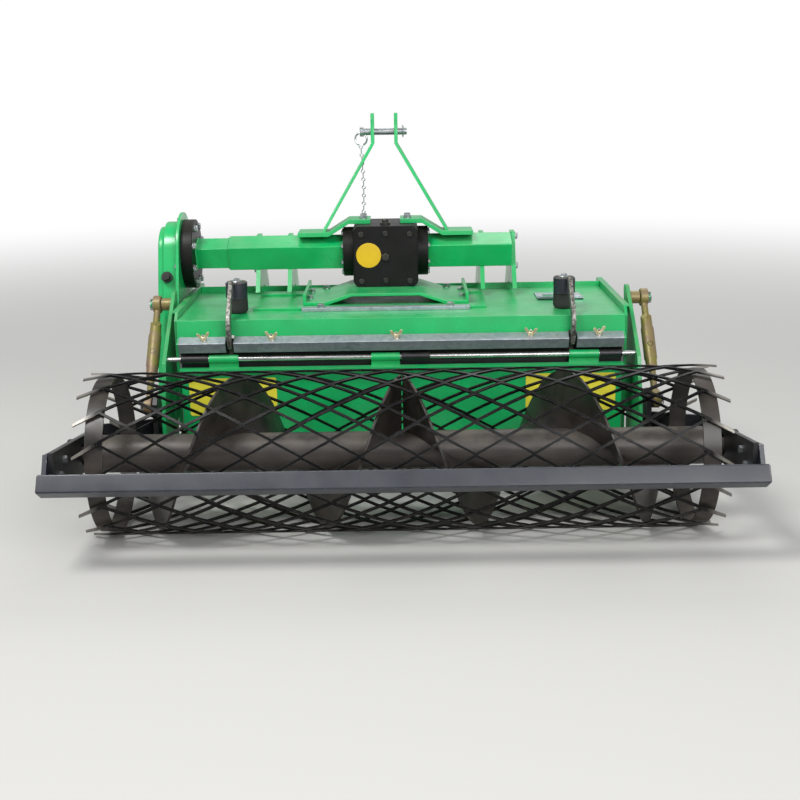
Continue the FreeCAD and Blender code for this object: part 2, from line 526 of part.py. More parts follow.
# Lengths of tube on the hinge rod: place, start, stop
DOOR_TUBES = (("left", -492, -417), ("middle", -77, -4), ("right", 429, 505))
COMB_TUBES = (("left", -564, -494), ("middle", 0, 73), ("right", 507, 564))
knuckles = []
for hand, start, stop in COMB_TUBES:
    knuckles.append(rod("comb_tube_" + hand, "spacer_radius", stop - start, start, "0", "hinge_z"))
    knuckles.append(profile("comb_web_" + hand, "YZ", (
        ("0", "hinge_z - 10"), ("comb_bar_y - comb_bar_side / 2", "comb_bar_z + comb_bar_side"),
        ("comb_bar_y + comb_bar_side / 2", "comb_bar_z + comb_bar_side"), ("3", "hinge_z + 10"),
    ), stop - start - 16, start + 8))
comb_arms = [
    profile(f"comb_arm_{hand}", "YZ", (
        ("comb_bar_y - comb_bar_side / 2 + 2", "comb_bar_z + comb_bar_side - 1"),
        ("comb_bar_y + comb_bar_side / 2 - 2", "comb_bar_z + comb_bar_side - 1"),
        ("16", "376"), ("-1", "398"), ("-1", "440"), ("10", "457"), ("82", "buffer_top_z - 3"),
        ("60", "buffer_top_z + 8"), ("-24", "462"), ("-34", "436"), ("-30", "402"), ("-14", "376"),
        ("12", "364"),
    ), "comb_arm_wall", f"{sign} * comb_arm_x - comb_arm_wall / 2")
    for hand, sign in SIDES
]
comb_bar = box("comb_square", "2 * comb_half", "comb_bar_side", "comb_bar_side", "-comb_half",
               "comb_bar_y - comb_bar_side / 2", "comb_bar_z")
comb_blank = fuse("comb_blank", [comb_bar, *knuckles])
node("comb_bar", cut("comb_bored", comb_blank, rod("comb_bore", "hinge_rod_radius + run_gap", "2 * side_x",
                                                   "-side_x", "0", "hinge_z")))
node("comb_arms", cut("comb_arms_seated", fuse("comb_arm_pair", comb_arms), box(
    "comb_arm_seat", "2 * side_x", "comb_bar_side", "comb_bar_side", "-side_x",
    "comb_bar_y - comb_bar_side / 2", "comb_bar_z")))
teeth = []
tooth_pitch = "(2 * comb_half - 40) / (tooth_count - 1)"
for index in range(int(size("tooth_count"))):
    across = f"-comb_half + 20 + {index} * {tooth_pitch}"
    shank = rod(f"tooth_{index}", "tooth_radius", "comb_bar_z - tooth_bottom_z - tooth_point", across,
                "comb_bar_y", "tooth_bottom_z + tooth_point", "z")
    point = doc.addObject("Part::Cone", f"tooth_point_{index}")
    point.setExpression("Radius1", link("tooth_radius / 3"))
    point.setExpression("Radius2", link("tooth_radius"))
    point.setExpression("Height", link("tooth_point"))
    place(point, across, "comb_bar_y", "tooth_bottom_z")
    teeth.append(fuse(f"tooth_whole_{index}", [shank, point]))
node("comb_teeth", fuse("teeth_all", teeth))
node("comb_buffers", fuse("buffer_pair", [
    rod(f"buffer_{hand}", "buffer_radius", "buffer_top_z - hood_top_z", f"{sign} * buffer_x", "buffer_y",
        "hood_top_z", "z")
    for hand, sign in SIDES
]))

# Rear door with its knuckles
door_sheet = profile("door_sheet", "YZ", (
    ("door_wall / 2", "door_top_z"), ("-door_flange", "door_top_z"),
    ("-door_flange", "door_top_z - door_wall"),
    ("-door_wall / 2", "door_top_z - door_wall"), ("-door_wall / 2", "door_bend_z"),
    ("door_tip_y", "door_tip_z"), ("door_tip_y + door_wall", "door_tip_z - 2"),
    ("door_wall / 2", "door_bend_z - 2"),
), "2 * door_half", "-door_half")
door_knuckles = []
for hand, start, stop in DOOR_TUBES:
    door_knuckles.append(rod("door_tube_" + hand, "knuckle_radius", stop - start, start, "0", "hinge_z"))
    door_knuckles.append(box("door_web_" + hand, stop - start, "door_wall", "hinge_z - door_top_z", start,
                             "-door_wall / 2", "door_top_z"))
node("rear_door", cut("door_bored", fuse("door_blank", [door_sheet, *door_knuckles]), rod(
    "door_bore", "hinge_rod_radius + run_gap", "2 * side_x", "-side_x", "0", "hinge_z")))

# Rotor: tube with stubs and flanges, and its bent blades
flange_places = [f"({index} - (flange_count - 1) / 2) * flange_pitch"
                 for index in range(int(size("flange_count")))]
right_stub_end = "side_x + side_wall + stub_seat - 2"
left_stub_end = "-bracket_x - case_plate_wall - stub_seat + 2"
node("rotor_shaft", fuse("rotor_shaft_all", [
    rod("rotor_tube", "rotor_tube_radius", "2 * rotor_half", "-rotor_half", "rotor_y", "rotor_z"),
    rod("rotor_stub", "rotor_stub_radius", f"{right_stub_end} - ({left_stub_end})", left_stub_end,
        "rotor_y", "rotor_z"),
    *[rod(f"rotor_flange_{index}", "flange_radius", "flange_wall", f"{middle} - flange_wall / 2",
          "rotor_y", "rotor_z")
      for index, middle in enumerate(flange_places)],
]))


def blade(sign):
    """Make one blade on the +Z side of the rotor's axis, its foot bent to one side."""
    wall, root, tip = size("blade_wall"), size("blade_root"), size("blade_tip_radius")
    foot, half_width = size("blade_foot"), size("blade_width") / 2
    face = size("flange_wall") / 2
    bend = 3 * wall
    section = (
        (face, root), (face + wall, root), (face + wall, tip - wall - bend),
        (face + wall + bend, tip - wall), (face + foot, tip - wall - 4), (face + foot, tip - 6),
        (face + wall + bend - 4, tip), (face, tip - bend - 6),
    )
    rings = []
    for along, lift in ((-half_width, -6), (half_width, 0)):
        rings.append([Vector(sign * x, along, radius + (lift if radius > tip / 2 else 0))
                      for x, radius in section])
    return faceted(rings)


blades = []
for index, middle in enumerate(flange_places):
    for turn in range(4):
        piece = blade(1 if turn % 2 else -1)
        angle = 90 * turn + index * size("blade_stagger")
        piece.Placement = Placement(Vector(size(middle), size("rotor_y"), size("rotor_z")),
                                    Rotation(Vector(1, 0, 0), angle))
        blades.append(piece)
solid_piece("rotor_blades", Part.Compound(blades))

# Rear roller: axle, the two halves of the auger flight, end bands and the cage of crossing strands
roller_at = Vector(0, size("roller_y"), size("roller_radius"))
node("roller_axle", fuse("roller_axle_all", [
    rod("axle_tube", "axle_radius", "2 * axle_half", "-axle_half", "roller_y", "roller_radius"),
    rod("axle_stubs", "roller_stub_radius", "2 * (arm_rear_x + arm_wall + bearing_wall - 4)",
        "-(arm_rear_x + arm_wall + bearing_wall - 4)", "roller_y", "roller_radius"),
]))
inner_face = "(roller_radius - 2 * strand_wall - strand_gap)"
lining = f"({inner_face} * cos(180 / cell_count) - seat_gap)"


def around(radius, angle, x):
    """Give the point at a radius and angle about the roller's axis."""
    return roller_at + Vector(x, radius * math.cos(angle), radius * math.sin(angle))


def auger_flight(sign):
    """Make one half of the flight, which winds outwards from the middle in straight steps."""
    pitch, steps, wall = size("flight_pitch"), int(size("flight_steps")), size("flight_wall")
    first = wall / 2 + size("seat_gap")
    reach = size("band_x - band_width / 2 - seat_gap") - wall / 2
    count = int((reach - first) / pitch * steps)
    low, high = size("axle_radius") - 1, size(lining)
    rings = []
    for index in range(count + 1):
        x = first + index * pitch / steps
        angle = math.pi / 2 + 2 * math.pi * x / pitch
        rings.append([around(low, angle, sign * (x - wall / 2)), around(high, angle, sign * (x - wall / 2)),
                      around(high, angle, sign * (x + wall / 2)), around(low, angle, sign * (x + wall / 2))])
    return faceted(rings)


def strand(start, sign, radius):
    """Make one strand of the cage, which winds along it in straight chords."""
    chords, half = int(size("cage_chords")), size("cage_half")
    step_x, step_angle = 2 * half / chords, 2 * math.pi / size("cell_count")
    lean = math.atan2(radius * step_angle, step_x) * sign
    width, wall = size("strand_width") / 2, size("strand_wall") / 2
    rings = []
    for index in range(chords + 1):
        angle = start + sign * step_angle * index
        middle_x = -half + width + (2 * half - 2 * width) * index / chords
        outward = Vector(0, math.cos(angle), math.sin(angle))
        tangent = Vector(0, -math.sin(angle), math.cos(angle))
        across = Vector(-math.sin(lean), 0, 0) + tangent * math.cos(lean)
        centre = roller_at + Vector(middle_x, 0, 0) + outward * radius
        rings.append([centre - across * width - outward * wall, centre + across * width - outward * wall,
                      centre + across * width + outward * wall, centre - across * width + outward * wall])
    return faceted(rings)


def cage():
    """Make both families of strands, the outer ones clear of the inner ones."""
    wall, gap, outer = size("strand_wall"), size("strand_gap"), size("roller_radius")
    step = 2 * math.pi / size("cell_count")
    strands = []
    for index in range(int(size("cell_count"))):
        strands.append(strand(step * index, 1, outer - wall / 2))
        strands.append(strand(step * index, -1, outer - 1.5 * wall - gap))
    return Part.Compound(strands)


solid_piece("auger_flight", Part.Compound([auger_flight(sign) for hand, sign in SIDES]).cut(
    Part.makeCylinder(size("axle_radius"), 2 * size("axle_half"), roller_at - Vector(size("axle_half"), 0, 0),
                      Vector(1, 0, 0))))
solid_piece("mesh_cage", cage())
bands = []
for hand, sign in SIDES:
    start = f"{sign} * band_x - band_width / 2"
    disc = rod("band_disc_" + hand, lining, "band_width", start, "roller_y", "roller_radius")
    hole = rod("band_hole_" + hand, lining + " - band_wall", "band_width", start, "roller_y", "roller_radius")
    bands.append(cut("band_" + hand, disc, hole))
node("end_bands", fuse("band_pair", bands))

# Arms of the roller with their turnbuckle lugs, bearings, and the square rear bar
arm_slope = "(roller_radius - arm_pivot_z) / (arm_pivot_y - roller_y)"


def arm_z(y, offset):
    """Give the height of the arm's edge at a place along it, ahead of the roller's axle."""
    return f"arm_pivot_z + (arm_pivot_y - ({y})) * {arm_slope} + {offset}"


SIDE_X = {1: "({})".format, -1: "-({})".format}
for hand, sign in SIDES:
    at = SIDE_X[sign]
    plan = profile("arm_plan_" + hand, "XY", (
        (at("arm_front_x"), "arm_pivot_y + arm_nose"), (at("arm_front_x"), "arm_bend_front_y"),
        (at("arm_rear_x"), "arm_bend_rear_y"), (at("arm_rear_x"), "arm_end_y"),
        (at("arm_rear_x + arm_wall"), "arm_end_y"), (at("arm_rear_x + arm_wall"), "arm_bend_rear_y + 6"),
        (at("arm_front_x + arm_wall"), "arm_bend_front_y + 6"),
        (at("arm_front_x + arm_wall"), "arm_pivot_y + arm_nose"),
    ), "hinge_z")
    nose_y = "arm_pivot_y + arm_nose"
    outline = profile("arm_outline_" + hand, "YZ", (
        (nose_y, arm_z(nose_y, "-arm_half_depth / 2")), (nose_y, arm_z(nose_y, "arm_half_depth / 2")),
        ("arm_pivot_y + arm_nose / 2", arm_z("arm_pivot_y + arm_nose / 2", "arm_half_depth")),
        ("arm_end_y", arm_z("arm_end_y", "arm_half_depth")), ("arm_end_y", "bar_z - 34"),
        ("roller_y", "roller_radius - arm_half_depth"),
        ("arm_pivot_y + arm_nose / 2", arm_z("arm_pivot_y + arm_nose / 2", "-arm_half_depth")),
    ), "2 * bar_half", "-bar_half")
    lug_start = "arm_front_x" if sign > 0 else "-arm_front_x - arm_wall"
    lug = profile("arm_lug_" + hand, "YZ", (
        ("lug_front_y", arm_z("lug_front_y", "-20")),
        ("lug_front_y", arm_z("lug_front_y", "arm_half_depth + 10")),
        ("lower_pin_y + 22", "lug_top_z - 8"), ("lower_pin_y + 12", "lug_top_z"),
        ("lower_pin_y - 12", "lug_top_z"),
        ("lug_rear_y", "lug_top_z - 16"), ("lug_rear_y", arm_z("lug_rear_y", "0")),
    ), "arm_wall", lug_start)
    pin_start = "arm_front_x" if sign > 0 else "-eye_x - eye_wall / 2 - pin_overhang"
    lower_pin = rod("lower_eye_pin_" + hand, "eye_pin_radius",
                    "eye_x + eye_wall / 2 + pin_overhang - arm_front_x", pin_start, "lower_pin_y",
                    "lower_pin_z")
    bores = fuse("arm_bores_" + hand, [
        rod("arm_pivot_bore_" + hand, "pivot_radius + run_gap", "arm_wall + 2",
            "arm_front_x - 1" if sign > 0 else "-arm_front_x - arm_wall - 1", "arm_pivot_y", "arm_pivot_z"),
        rod("arm_stub_bore_" + hand, "arm_stub_hole", "arm_wall + 2",
            "arm_rear_x - 1" if sign > 0 else "-arm_rear_x - arm_wall - 1", "roller_y", "roller_radius"),
    ])
    arm_whole = fuse("arm_whole_" + hand, [common("arm_bent_" + hand, plan, outline), lug, lower_pin])
    node("arm_" + hand, cut("arm_bored_" + hand, arm_whole, bores))

    start = "arm_rear_x + arm_wall" if sign > 0 else "-arm_rear_x - arm_wall - bearing_wall"
    thin_start = start if sign > 0 else start + " + bearing_wall / 2"
    housing = fuse("bearing_solid_" + hand, [
        rod("bearing_hub_" + hand, "bearing_radius", "bearing_wall", start, "roller_y", "roller_radius"),
        rod("bearing_front_" + hand, "bearing_lobe", "bearing_wall / 2", thin_start,
            "roller_y + bearing_bolt_span", "roller_radius"),
        rod("bearing_rear_" + hand, "bearing_lobe", "bearing_wall / 2", thin_start,
            "roller_y - bearing_bolt_span", "roller_radius"),
        box("bearing_web_" + hand, "bearing_wall / 2", "2 * bearing_bolt_span", "2 * bearing_lobe",
            thin_start, "roller_y - bearing_bolt_span", "roller_radius - bearing_lobe"),
    ])
    node("bearing_" + hand, cut("bearing_bored_" + hand, housing, rod(
        "bearing_bore_" + hand, "roller_stub_radius + run_gap", "bearing_wall - 2",
        start if sign > 0 else start + " + 2", "roller_y", "roller_radius")))

bar_ring = (("-bar_side / 2", "-bar_side / 2"), ("bar_side / 2", "-bar_side / 2"),
            ("bar_side / 2", "bar_side / 2"), ("-bar_side / 2", "bar_side / 2"))
rear_tube = place(profile("rear_tube", "YZ", bar_ring, "2 * bar_half"),
                  "-bar_half", "bar_y", "bar_z", "bar_turn")
bar_plates = [
    profile("bar_plate_" + hand, "YZ", (
        ("bar_plate_front_y", "bar_z - 36"), ("bar_y + 10", "bar_z - 18"), ("bar_y + 10", "bar_z + 18"),
        ("arm_end_y", arm_z("arm_end_y", "40")), ("bar_plate_front_y", arm_z("bar_plate_front_y", "36")),
    ), "bar_plate_wall", "arm_rear_x + arm_wall" if sign > 0 else "-arm_rear_x - arm_wall - bar_plate_wall")
    for hand, sign in SIDES
]
node("rear_bar", fuse("rear_bar_all", [rear_tube, *bar_plates]))

# Turnbuckles: a barrel that hangs from the upper pin, and the rod that slides in it
buckle_lean = "atan((upper_pin_y - lower_pin_y) / (upper_pin_z - lower_pin_z))"
buckle_span = "sqrt((upper_pin_y - lower_pin_y)^2 + (upper_pin_z - lower_pin_z)^2)"
for hand, sign in SIDES:
    upper = fuse("buckle_upper_" + hand, [
        rod("buckle_eye_" + hand, "eye_radius", "eye_wall", "-eye_wall / 2", "0", "0"),
        rod("buckle_shank_" + hand, "rod_radius", "barrel_top - eye_radius + 6", "0", "0", "-barrel_top",
            "z"),
        rod("buckle_nut_" + hand, "nut_radius", "nut_height", "0", "0", "-barrel_top", "z"),
        rod("buckle_barrel_" + hand, "barrel_radius", "barrel_bottom - barrel_top", "0", "0",
            "-barrel_bottom", "z"),
    ])
    bore = fuse("buckle_bores_" + hand, [
        rod("buckle_pin_bore_" + hand, "eye_pin_radius + run_gap", "eye_wall + 2", "-eye_wall / 2 - 1",
            "0", "0"),
        rod("buckle_rod_bore_" + hand, "rod_radius + run_gap", "barrel_bottom - barrel_bore_top", "0", "0",
            "-barrel_bottom", "z"),
    ])
    turnbuckle = cut("buckle_" + hand, upper, bore)
    place(turnbuckle, f"{sign} * eye_x", "upper_pin_y", "upper_pin_z", f"-{buckle_lean}")
    node("turnbuckle_" + hand, turnbuckle)
    lower = fuse("rod_lower_" + hand, [
        rod("rod_eye_" + hand, "eye_radius", "eye_wall", "-eye_wall / 2", "0", f"-{buckle_span}"),
        rod("rod_shank_" + hand, "rod_radius", f"{buckle_span} - rod_reach - eye_radius + 6", "0", "0",
            f"-{buckle_span} + eye_radius - 6", "z"),
    ])
    rod_piece = cut("rod_" + hand, lower, rod(
        "rod_pin_bore_" + hand, "eye_pin_radius + eye_play", "eye_wall + 2", "-eye_wall / 2 - 1", "0",
        f"-{buckle_span}"))
    place(rod_piece, f"{sign} * eye_x", "upper_pin_y", "upper_pin_z", f"-{buckle_lean}")
    node("rod_" + hand, rod_piece)

# Build, check every object, and write each piece
doc.recompute()
failed = [item.Name for item in doc.Objects if "Invalid" in item.State or "Error" in item.State]
if failed:
    raise RuntimeError("These objects failed: " + ", ".join(failed))
for name, thing in NODES:
    if thing.Shape.isNull() or not thing.Shape.isValid():
        raise RuntimeError(f"The piece {name} has no valid shape")
for name, thing in NODES:
    thing.Shape.exportStep(f"parts/{name}.step")
print(f"{len(NODES)} pieces written")
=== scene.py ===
"""Rotary tiller for a compact tractor: its finishes, fittings, light and view.

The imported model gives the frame. This script rounds its edges, gives every surface its
finish, and adds the fittings that the solids leave out. Sizes are in millimetres until
they reach a mesh, which is in metres. X is the machine's right, Y forward and Z up.
"""
from __future__ import annotations

import json
import logging
import math
from dataclasses import dataclass, field
from enum import Enum
from typing import Any, Iterable, Sequence

import bmesh
import bpy
from mathutils import Matrix, Vector

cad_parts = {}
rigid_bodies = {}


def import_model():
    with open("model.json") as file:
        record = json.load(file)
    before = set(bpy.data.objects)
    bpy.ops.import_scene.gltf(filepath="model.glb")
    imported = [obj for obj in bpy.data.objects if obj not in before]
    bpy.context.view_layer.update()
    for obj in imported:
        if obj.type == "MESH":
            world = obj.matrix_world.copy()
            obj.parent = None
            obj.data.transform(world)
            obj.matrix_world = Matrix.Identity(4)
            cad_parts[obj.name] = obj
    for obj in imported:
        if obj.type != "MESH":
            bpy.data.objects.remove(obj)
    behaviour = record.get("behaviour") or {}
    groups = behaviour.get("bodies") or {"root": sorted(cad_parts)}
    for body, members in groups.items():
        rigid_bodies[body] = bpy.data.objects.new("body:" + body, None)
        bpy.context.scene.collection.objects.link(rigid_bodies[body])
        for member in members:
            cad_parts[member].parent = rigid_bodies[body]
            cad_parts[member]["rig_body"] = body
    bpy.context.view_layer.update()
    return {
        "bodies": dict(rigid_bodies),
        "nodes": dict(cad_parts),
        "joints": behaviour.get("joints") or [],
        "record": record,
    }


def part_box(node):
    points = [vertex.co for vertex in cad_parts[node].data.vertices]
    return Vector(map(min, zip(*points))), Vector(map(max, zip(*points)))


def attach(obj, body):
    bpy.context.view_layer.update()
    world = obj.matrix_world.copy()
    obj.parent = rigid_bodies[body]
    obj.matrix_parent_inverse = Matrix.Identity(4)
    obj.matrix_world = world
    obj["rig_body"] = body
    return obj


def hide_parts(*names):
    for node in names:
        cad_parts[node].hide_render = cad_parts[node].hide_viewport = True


log = logging.getLogger("rotary_tiller")
MM = 0.001
Flat = tuple[float, float]
Place = tuple[float, float, float]
Socket = bpy.types.NodeSocket

# Places that several fittings share, in millimetres: an X alone, or Y and Z
GEAR_X = -39.0
SHAFT_Z = 564.0
BEAM = (360.0, 568.0)
ROTOR = (240.0, 205.0)
ROLLER = (-300.0, 191.0)
ARM_PIVOT = (50.0, 140.0)
UPPER_EYE = (160.0, 462.0)
LOWER_EYE = (-40.0, 236.0)
TOP_PIN = (490.0, 888.0)
COMB_ARM_X = 436.0
BEAM_LEAN = 22.0

# Edges sharper than this stay crisp, in degrees: on turned parts, hexagons, panels and bent sheet
TURNED, HEXAGON, PANEL, SHEET = 30.0, 25.0, 38.0, 60.0


class Axis(Enum):
    """The machine's three directions."""

    X = (1, 0, 0)
    Y = (0, 1, 0)
    Z = (0, 0, 1)

    def vector(self, sign: int = 1) -> Vector:
        """Give the unit vector, turned round where sign is -1."""
        return Vector(self.value) * sign


class Side(Enum):
    """The machine's left and right."""

    LEFT = -1
    RIGHT = 1

    @property
    def word(self) -> str:
        """Give the side's name in lower case."""
        return self.name.lower()

    @property
    def out(self) -> Vector:
        """Give the direction away from the machine's middle."""
        return Axis.X.vector(self.value)


class Grain(Enum):
    """How a surface was made, which decides its fine pattern."""

    SPRAYED = "sprayed"
    ROLLED = "rolled"
    SPANGLED = "spangled"
    CAST = "cast"
    MOULDED = "moulded"


def linear(text: str) -> tuple[float, ...]:
    """Turn an sRGB hex colour, such as "#2DB060", into linear red, green, blue and a full alpha."""
    parts = [int(text[place:place + 2], 16) / 255 for place in (1, 3, 5)]
    red, green, blue = (p / 12.92 if p <= 0.04045 else ((p + 0.055) / 1.055) ** 2.4 for p in parts)
    return red, green, blue, 1.0


class Shading:
    """A node tree under work, with short calls for the nodes that come again and again.

    Attributes:
        tree: The node tree, emptied first.
        at: Object coordinates.
        facing: The surface's own direction.
    """

    def __init__(self, tree: bpy.types.NodeTree) -> None:
        """Empty a tree and give it its coordinates."""
        tree.nodes.clear()
        self.tree = tree
        place = self.add("ShaderNodeTexCoord")
        self.at, self.facing = place.outputs["Object"], place.outputs["Normal"]

    def add(self, kind: str, inputs: dict[Any, Any] | None = None, **settings: Any) -> bpy.types.Node:
        """Add a node.

        Args:
            kind: The node's type name.
            inputs: Input name or number to a value, or to the socket that feeds it.
            settings: The node's own properties.

        Returns:
            The new node.
        """
        made = self.tree.nodes.new(kind)
        for key, value in settings.items():
            setattr(made, key, value)
        for key, value in (inputs or {}).items():
            if isinstance(value, Socket):
                self.tree.links.new(value, made.inputs[key])
            else:
                made.inputs[key].default_value = value
        return made

    def noise(self, size_mm: float, detail: float, roughness: float = 0.5) -> Socket:
        """Give a noise whose clouds are about as large as asked."""
        return self.add("ShaderNodeTexNoise", {"Vector": self.at, "Scale": 1 / (size_mm * MM),
                                               "Detail": detail, "Roughness": roughness}).outputs["Fac"]

    def ramp(self, value: Socket, low: float, high: float, to_low: float = 0.0,
             to_high: float = 1.0, **settings: Any) -> Socket:
        """Carry the span from low to high over to the span from to_low to to_high."""
        made = self.add("ShaderNodeMapRange", {"Value": value, "From Min": low, "From Max": high,
                                               "To Min": to_low, "To Max": to_high}, **settings)
        return made.outputs[0]

    def math(self, operation: str, first: Any, second: Any = 0.0, clamp: bool = False) -> Socket:
        """Give the result of a sum on one or two values, held between 0 and 1 if asked."""
        made = self.add("ShaderNodeMath", {0: first, 1: second}, operation=operation, use_clamp=clamp)
        return made.outputs[0]

    def part(self, value: Socket, index: int) -> Socket:
        """Give one of a vector's three numbers."""
        return self.add("ShaderNodeSeparateXYZ", {0: value}).outputs[index]

    def mix(self, share: Any, low: Any, high: Any) -> Socket:
        """Mix two colours: all low at a share of 0, all high at 1."""
        # Sockets of a colour mix are numbers 6 and 7, and its result is number 2
        return self.add("ShaderNodeMix", {0: share, 6: low, 7: high}, data_type="RGBA").outputs[2]


@dataclass(frozen=True)
class Finish:
    """One surface finish: its colour, its making, its wear and its dust.

    The colour drifts towards shade in patches of patch_mm. Edges rounder than edge_mm
    wear down to worn. Dust settles on what faces up, and soil splashes what stands low.
    The grain is drawn as coarse as it needs to be to show. Past tip_mm along X, ends are
    rubbed pale.
    """

    name: str
    colour: str
    shade: str
    slot: str
    grain: Grain = Grain.SPRAYED
    roughness: float = 0.4
    metallic: float = 0.0
    coat: float = 0.0
    patch_mm: float = 90.0
    grain_mm: float = 2.5
    grain_depth_mm: float = 0.05
    worn: str = "#8C8A84"
    edge_mm: float = 1.5
    wear: float = 0.5
    dust: str = "#A3967C"
    dust_share: float = 0.25
    gloss: float = 0.5
    soil: float = 0.0
    tip_mm: float = 0.0

    def material(self) -> bpy.types.Material:
        """Build the finish once, and give it again when it is asked for.

        Returns:
            The material with its whole node tree.
        """
        made = bpy.data.materials.get(self.name)
        if made:
            return made
        made = bpy.data.materials.new(self.name)
        made.use_nodes = True
        work = Shading(made.node_tree)
        drift = work.noise(self.patch_mm, 4.0)
        base = work.mix(work.ramp(drift, 0.35, 0.7), linear(self.colour), linear(self.shade))
        worn, dust = self._wear_mask(work), self._dust_mask(work)
        colour = work.mix(worn, self._patterned(work, base), linear(self.worn))
        colour = work.mix(dust, colour, linear(self.dust))
        rough = work.ramp(drift, 0.3, 0.75, max(self.roughness - 0.07, 0.05), self.roughness + 0.1)
        # Sockets of a number mix are 2 and 3, and its result is number 0
        rough = work.add("ShaderNodeMix", {0: dust, 2: rough, 3: 0.85}).outputs[0]
        shader = work.add("ShaderNodeBsdfPrincipled", {
            "Base Color": colour, "Roughness": rough, "Normal": self._bumped(work),
            "Metallic": self.metallic or work.math("MULTIPLY", worn, 0.7),
            "Specular IOR Level": self.gloss, "Coat Weight": self.coat, "Coat Roughness": 0.2})
        work.add("ShaderNodeOutputMaterial", {"Surface": shader.outputs[0]})
        return made

    def _patterned(self, work: Shading, base: Socket) -> Socket:
        """Draw the making's own colour pattern over the drifting base colour."""
        if self.grain is Grain.SPANGLED:
            # Zinc crystals, drawn 9 mm wide
            cells = work.add("ShaderNodeTexVoronoi", {"Vector": work.at, "Scale": 1 / (9 * MM)})
            level = work.add("ShaderNodeSeparateColor", {0: cells.outputs["Color"]})
            return work.mix(work.math("MULTIPLY", level.outputs[0], 0.35), base, linear(self.worn))
        if self.grain is Grain.ROLLED:
            # Streaks that follow the rolling, 60 mm long and 3 mm apart
            stretched = work.add("ShaderNodeMapping", {
                "Vector": work.at, "Scale": (1 / (60 * MM), 1 / (3 * MM), 1 / (3 * MM))})
            streaks = work.add("ShaderNodeTexNoise", {
                "Vector": stretched.outputs[0], "Scale": 1.0, "Detail": 3.0})
            share = work.ramp(streaks.outputs["Fac"], 0.45, 0.8, 0.0, 0.6)
            return work.mix(share, base, linear(self.shade))
        return base

    def _wear_mask(self, work: Shading) -> Socket:
        """Find the edges and scattered chips where the coat is worn through.

        Args:
            work: The material's shading.

        Returns:
            A socket from 0, sound, to 1, bare.
        """
        rounded = work.add("ShaderNodeBevel", {"Radius": self.edge_mm * MM}, samples=4)
        flat = work.add("ShaderNodeNewGeometry")
        facing = work.add("ShaderNodeVectorMath", {0: rounded.outputs[0], 1: flat.outputs["Normal"]},
                          operation="DOT_PRODUCT")
        edge = work.ramp(facing.outputs["Value"], 0.98, 0.86, 0.0, self.wear)
        chips = work.ramp(work.noise(14, 5.0, 0.7), 0.47, 0.56)
        spots = work.ramp(work.noise(26, 8.0, 0.8), 0.71, 0.75, 0.0, self.wear)
        both = work.math("MAXIMUM", work.math("MULTIPLY", edge, chips), spots)
        if not self.tip_mm:
            return both
        reach = work.math("ABSOLUTE", work.part(work.at, 0))
        tip = work.ramp(reach, self.tip_mm * MM, (self.tip_mm + 30) * MM, 0.0, 0.55)
        return work.math("MAXIMUM", both, tip)

    def _dust_mask(self, work: Shading) -> Socket:
        """Find where dust lies on top and where soil has splashed low down.

        Args:
            work: The material's shading.

        Returns:
            A socket from 0, clean, to 1, covered.
        """
        upward = work.ramp(work.part(work.facing, 2), 0.3, 1.0, 0.12, 1.0)
        cloud = work.ramp(work.noise(70, 9.0, 0.65), 0.38, 0.72, 0.0, self.dust_share * 2)
        lying = work.math("MULTIPLY", upward, cloud, True)
        if not self.soil:
            return lying
        low = work.ramp(work.part(work.at, 2), 0.16, 0.0, 0.0, self.soil)
        splash = work.ramp(work.noise(22, 8.0, 0.75), 0.42, 0.6)
        return work.math("MAXIMUM", lying, work.math("MULTIPLY", low, splash))

    def _bumped(self, work: Shading) -> Socket:
        """Raise the fine grain of the surface, deeper on castings."""
        depth = self.grain_depth_mm * (2.5 if self.grain is Grain.CAST else 1.0)
        bump = work.add("ShaderNodeBump", {"Height": work.noise(self.grain_mm, 3.0), "Distance": depth * MM,
                                           "Strength": 1.0})
        return bump.outputs[0]


# Two-coat enamel sprayed on folded steel: glossy, thin on the edges, with dust on top
GREEN_ENAMEL = Finish("green_enamel", "#0EAC5E", "#0B9A53", "green", roughness=0.3, coat=0.3, wear=0.5,
                      worn="#7E857A", dust="#8DAE86", dust_share=0.13, grain_mm=4.0, grain_depth_mm=0.03)
# The same enamel where the machine stands low and catches soil
GREEN_LOW = Finish("green_enamel_low", "#0CA157", "#098C4A", "green", roughness=0.38, coat=0.25, wear=0.7,
                   worn="#86867C", dust="#8E8468", dust_share=0.22, soil=0.8, grain_mm=4.0,
                   grain_depth_mm=0.03)
# Dark enamel of the roller's frame, a touch of gloss and pale scuffs on its edges
BLACK_ENAMEL = Finish("black_enamel", "#141518", "#1D1E22", "black", roughness=0.36, gloss=0.4, wear=0.6,
                      worn="#8B8E92", dust="#7C776B", dust_share=0.12, soil=0.4)
# The same enamel on the rear bar, tinted cool blue-grey as a painted reflection of the sky, with scuffs where
# it rubs the ground
SKY_TINTED_ENAMEL = Finish("bar_enamel", "#151925", "#222632", "black", roughness=0.4, coat=0.1, wear=0.9,
                    worn="#9C9EA6", dust="#6E6C68", dust_share=0.1, soil=0.0, edge_mm=2.0)
# Sand-cast housing, painted black, so its skin is pebbled under the paint
BLACK_CASTING = Finish("black_casting", "#0A0A0A", "#111112", "black", Grain.CAST, roughness=0.42, gloss=0.2,
                       wear=0.3, worn="#6F7072", dust_share=0.03, grain_mm=3.0, grain_depth_mm=0.12)
# Expanded sheet steel, rubbed by soil: dark, with pale worn edges that are partly real wear and partly
# painted glints, and bare tips
EXPANDED_STEEL = Finish("expanded_steel", "#0C0C0D", "#151516", "dark_steel", roughness=0.34, gloss=0.12,
                        wear=0.45, worn="#A29E96", dust="#6E675A", dust_share=0.01, soil=0.15, edge_mm=0.8,
                        tip_mm=682.0)
